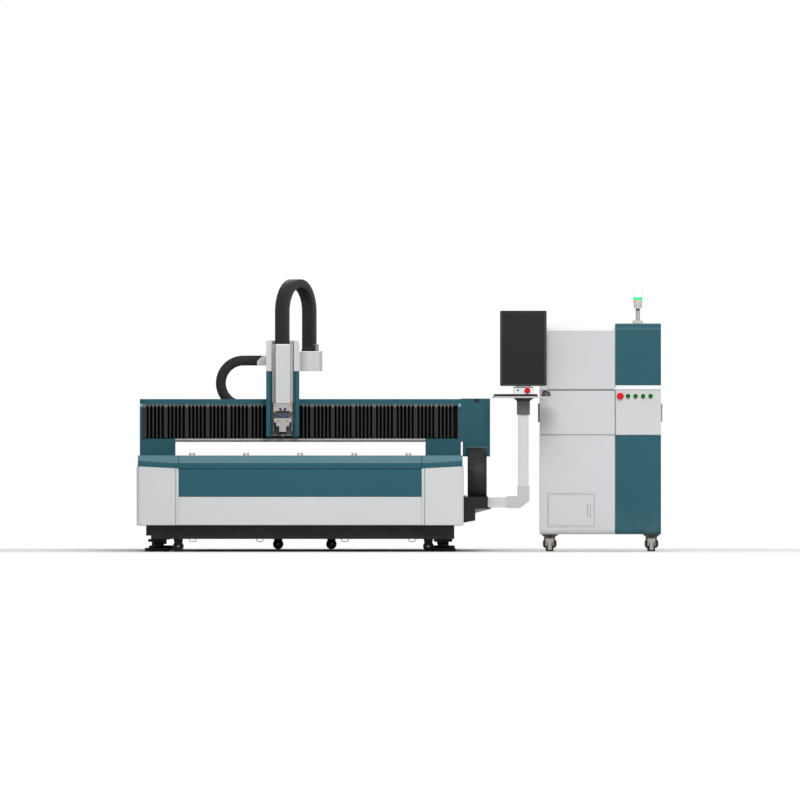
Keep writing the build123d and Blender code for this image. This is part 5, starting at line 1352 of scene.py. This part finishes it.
# %% Brake pedals, mounts and cheeks of the swivel castors
PEDAL_BACK, CHEEK_INNER = 0.0005, 0.0375
MOUNT = [(0.020, 0.1193), (0.060, 0.1193), (0.060, 0.1165), (0.036, 0.0995), (0.0345, 0.080), (0.020, 0.080)]
for side in ("left", "right"):
    low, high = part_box("castor_fork_" + side)
    x = (low[0] + high[0]) / 2
    crown_front = low[1] + 0.014
    form = bmesh.new()
    add_slab(form, (x - 0.013, crown_front - 0.012, 0.010), (x + 0.013, crown_front + PEDAL_BACK, 0.074), 0.003)
    add_slab(form, (x - 0.026, crown_front - 0.009, 0.062), (x + 0.026, crown_front + PEDAL_BACK, 0.090), 0.003)
    for lean in (-1, 1):
        add_slab(form, (x + lean * 0.0235 - 0.004, crown_front - 0.010, 0.040),
                 (x + lean * 0.022 + 0.004, crown_front + PEDAL_BACK, 0.068), 0.002)
    keep(form, "castor_brake_" + side, PEDAL, "castor_" + side)
    turned("castor_mount_" + side, MOUNT, (x, (low[1] + high[1]) / 2, 0.0),
           FORK_DARK, "castor_" + side, steps=48)
    form = bmesh.new()
    for lean in (-1, 1):
        for reach, base, top in ((0.0485, 0.036, 0.074), (0.0445, 0.031, 0.080)):
            near, far = sorted((lean * CHEEK_INNER, lean * reach))
            add_slab(form, (x + near, low[1] + 0.016, base), (x + far, low[1] + 0.078, top), 0.002)
    keep(form, "castor_cheeks_" + side, FORK, "castor_" + side)
print("castor pieces done")

# %% [markdown]
# Some lines on the front are folds and seams of the sheet itself. A thin slice is cut out of the
# solid's own surface there, raised by a fraction of a millimetre and given its own finish. The
# grey lines on the folds of the front corners are painted shade; the seams are dark joints.

# %% Fold and seam lines
WELD = 0.000002


def surface_line(name, node, centre_x, width, finish, body, proud=0.0005):
    """A narrow band of a node's surface between two planes across X."""
    form = bmesh.new()
    form.from_mesh(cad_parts[node].data)
    bmesh.ops.remove_doubles(form, verts=form.verts, dist=WELD)
    for edge_x, inner, outer in ((centre_x - width / 2, True, False), (centre_x + width / 2, False, True)):
        whole = list(form.verts) + list(form.edges) + list(form.faces)
        bmesh.ops.bisect_plane(form, geom=whole, plane_co=(edge_x, 0.0, 0.0), plane_no=(1.0, 0.0, 0.0),
                               clear_inner=inner, clear_outer=outer)
    rim = [edge for edge in form.edges if edge.is_boundary]
    bmesh.ops.holes_fill(form, edges=rim, sides=0)
    bmesh.ops.recalc_face_normals(form, faces=form.faces)
    form.normal_update()
    for corner in form.verts:
        corner.co += corner.normal * proud
    return keep(form, name, finish, body)


# The grey lines on the corner folds are painted shade in the crease.
for name, node, column, width, finish in (
    ("ledge_seam_left", "front_ledge", 179.0, 0.005, DEEP_TEAL),
    ("ledge_seam_right", "front_ledge", 421.8, 0.005, DEEP_TEAL),
    ("corner_fold_shade_left", "front_corners", 176.2, 0.0045, SEAL_GREY_AND_FOLD_SHADE),
    ("corner_fold_shade_right", "front_corners", 424.6, 0.0045, SEAL_GREY_AND_FOLD_SHADE),
):
    line = surface_line(name, node, at_pixel(column, 0)[0], width, finish, "bed")
    print(name, len(line.data.polygons), "faces")

# %% Cabinet handles and the painted light on the wing of the hood
HANDLE_MIDDLE, HANDLE_WIDTH = 0.0058, 0.0112
WING_ROOM = 0.001
body_low, body_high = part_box("cabinet_body")
for name, centre_x in (("cabinet_handle_left", body_low[0] + HANDLE_MIDDLE),
                       ("cabinet_handle_right", body_high[0] - HANDLE_MIDDLE)):
    surface_line(name, "cabinet_body", centre_x, HANDLE_WIDTH, SEAL_GREY_AND_FOLD_SHADE, "bed")
# The wing of the hood lies in the hood's shade, and a band of its surface takes the white finish in place of the pale
# one: painted light.
wing_left = hood_low[0] - WING_ROOM
wing_right = frame_low[0] - WING_ROOM
surface_line("wing_painted_light", "carriage_hood", (wing_left + wing_right) / 2, wing_right - hood_low[0] + WING_ROOM,
             WHITE, "carriage")
print("handles and wing done")

# %% [markdown]
# The access door has a recessed pull, and a rubber seal runs round the door in the panel.

# %% Access door
SEAL_GAP, SEAL_WIDE = 0.0006, 0.0032
RIM_HALF, PULL_HALF = (0.0115, 0.0455), (0.0085, 0.0425)
door_low, door_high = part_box("access_door")
door_front = door_low[1]
pull_x, pull_z = at_pixel(589.3, 510.5)
slab("door_pull_rim", (pull_x - RIM_HALF[0], door_front - 0.001, pull_z - RIM_HALF[1]),
     (pull_x + RIM_HALF[0], door_front + 0.002, pull_z + RIM_HALF[1]), 0.0008, SEAL_GREY_AND_FOLD_SHADE, "door")
slab("door_pull", (pull_x - PULL_HALF[0], door_front - 0.002, pull_z - PULL_HALF[1]),
     (pull_x + PULL_HALF[0], door_front + 0.002, pull_z + PULL_HALF[1]), 0.0015, PALE, "door")
left, right, under, over = door_low[0], door_high[0], door_low[2], door_high[2]
slabs("door_seal", [
    ((low_x, door_front - 0.0003, low_z), (high_x, door_front + SEAL_BACK, high_z))
    for low_x, high_x, low_z, high_z in (
        (left - SEAL_WIDE, left - SEAL_GAP, under - SEAL_WIDE, over + SEAL_WIDE),
        (right + SEAL_GAP, right + SEAL_WIDE, under - SEAL_WIDE, over + SEAL_WIDE),
        (left - SEAL_GAP, right + SEAL_GAP, under - SEAL_WIDE, under - SEAL_GAP),
        (left - SEAL_GAP, right + SEAL_GAP, over + SEAL_GAP, over + SEAL_WIDE))
], 0.0004, SEAL_GREY_AND_FOLD_SHADE, "bed")
print("door pieces done")

# %% [markdown]
# The mouse is a low dome. Rings of points shrink towards the top, and the power on the cosine
# keeps its shoulders full.

# %% Mouse
DOME_RINGS, DOME_TURNS = 13, 48
SHELL_RISE, SHELL_SHIFT, SHOULDER = 0.0445, 0.002, 0.8
centre = [(a + b) / 2 for a, b in zip(mouse_low, mouse_high)]
half = [(b - a) / 2 for a, b in zip(mouse_low, mouse_high)]
turns = [2 * math.pi * turn / DOME_TURNS for turn in range(DOME_TURNS)]
dome = bmesh.new()
rings = []
for rise in range(DOME_RINGS):
    angle = math.pi / 2 * rise / DOME_RINGS
    full = math.cos(angle) ** SHOULDER
    height = mouse_low[2] + SHELL_RISE * math.sin(angle)
    rings.append([dome.verts.new((centre[0] + SHELL_SHIFT + half[0] * full * math.cos(turn),
                                  centre[1] + half[1] * full * math.sin(turn), height)) for turn in turns])
for first, last in zip(rings, rings[1:]):
    for turn in range(DOME_TURNS):
        after = (turn + 1) % DOME_TURNS
        dome.faces.new((first[turn], first[after], last[after], last[turn]))
dome.faces.new(rings[0])
dome.faces.new(rings[-1])
shell = keep(dome, "mouse_shell", GLOSS_BLACK, "console", smooth=True)
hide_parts("mouse")
print("mouse done")
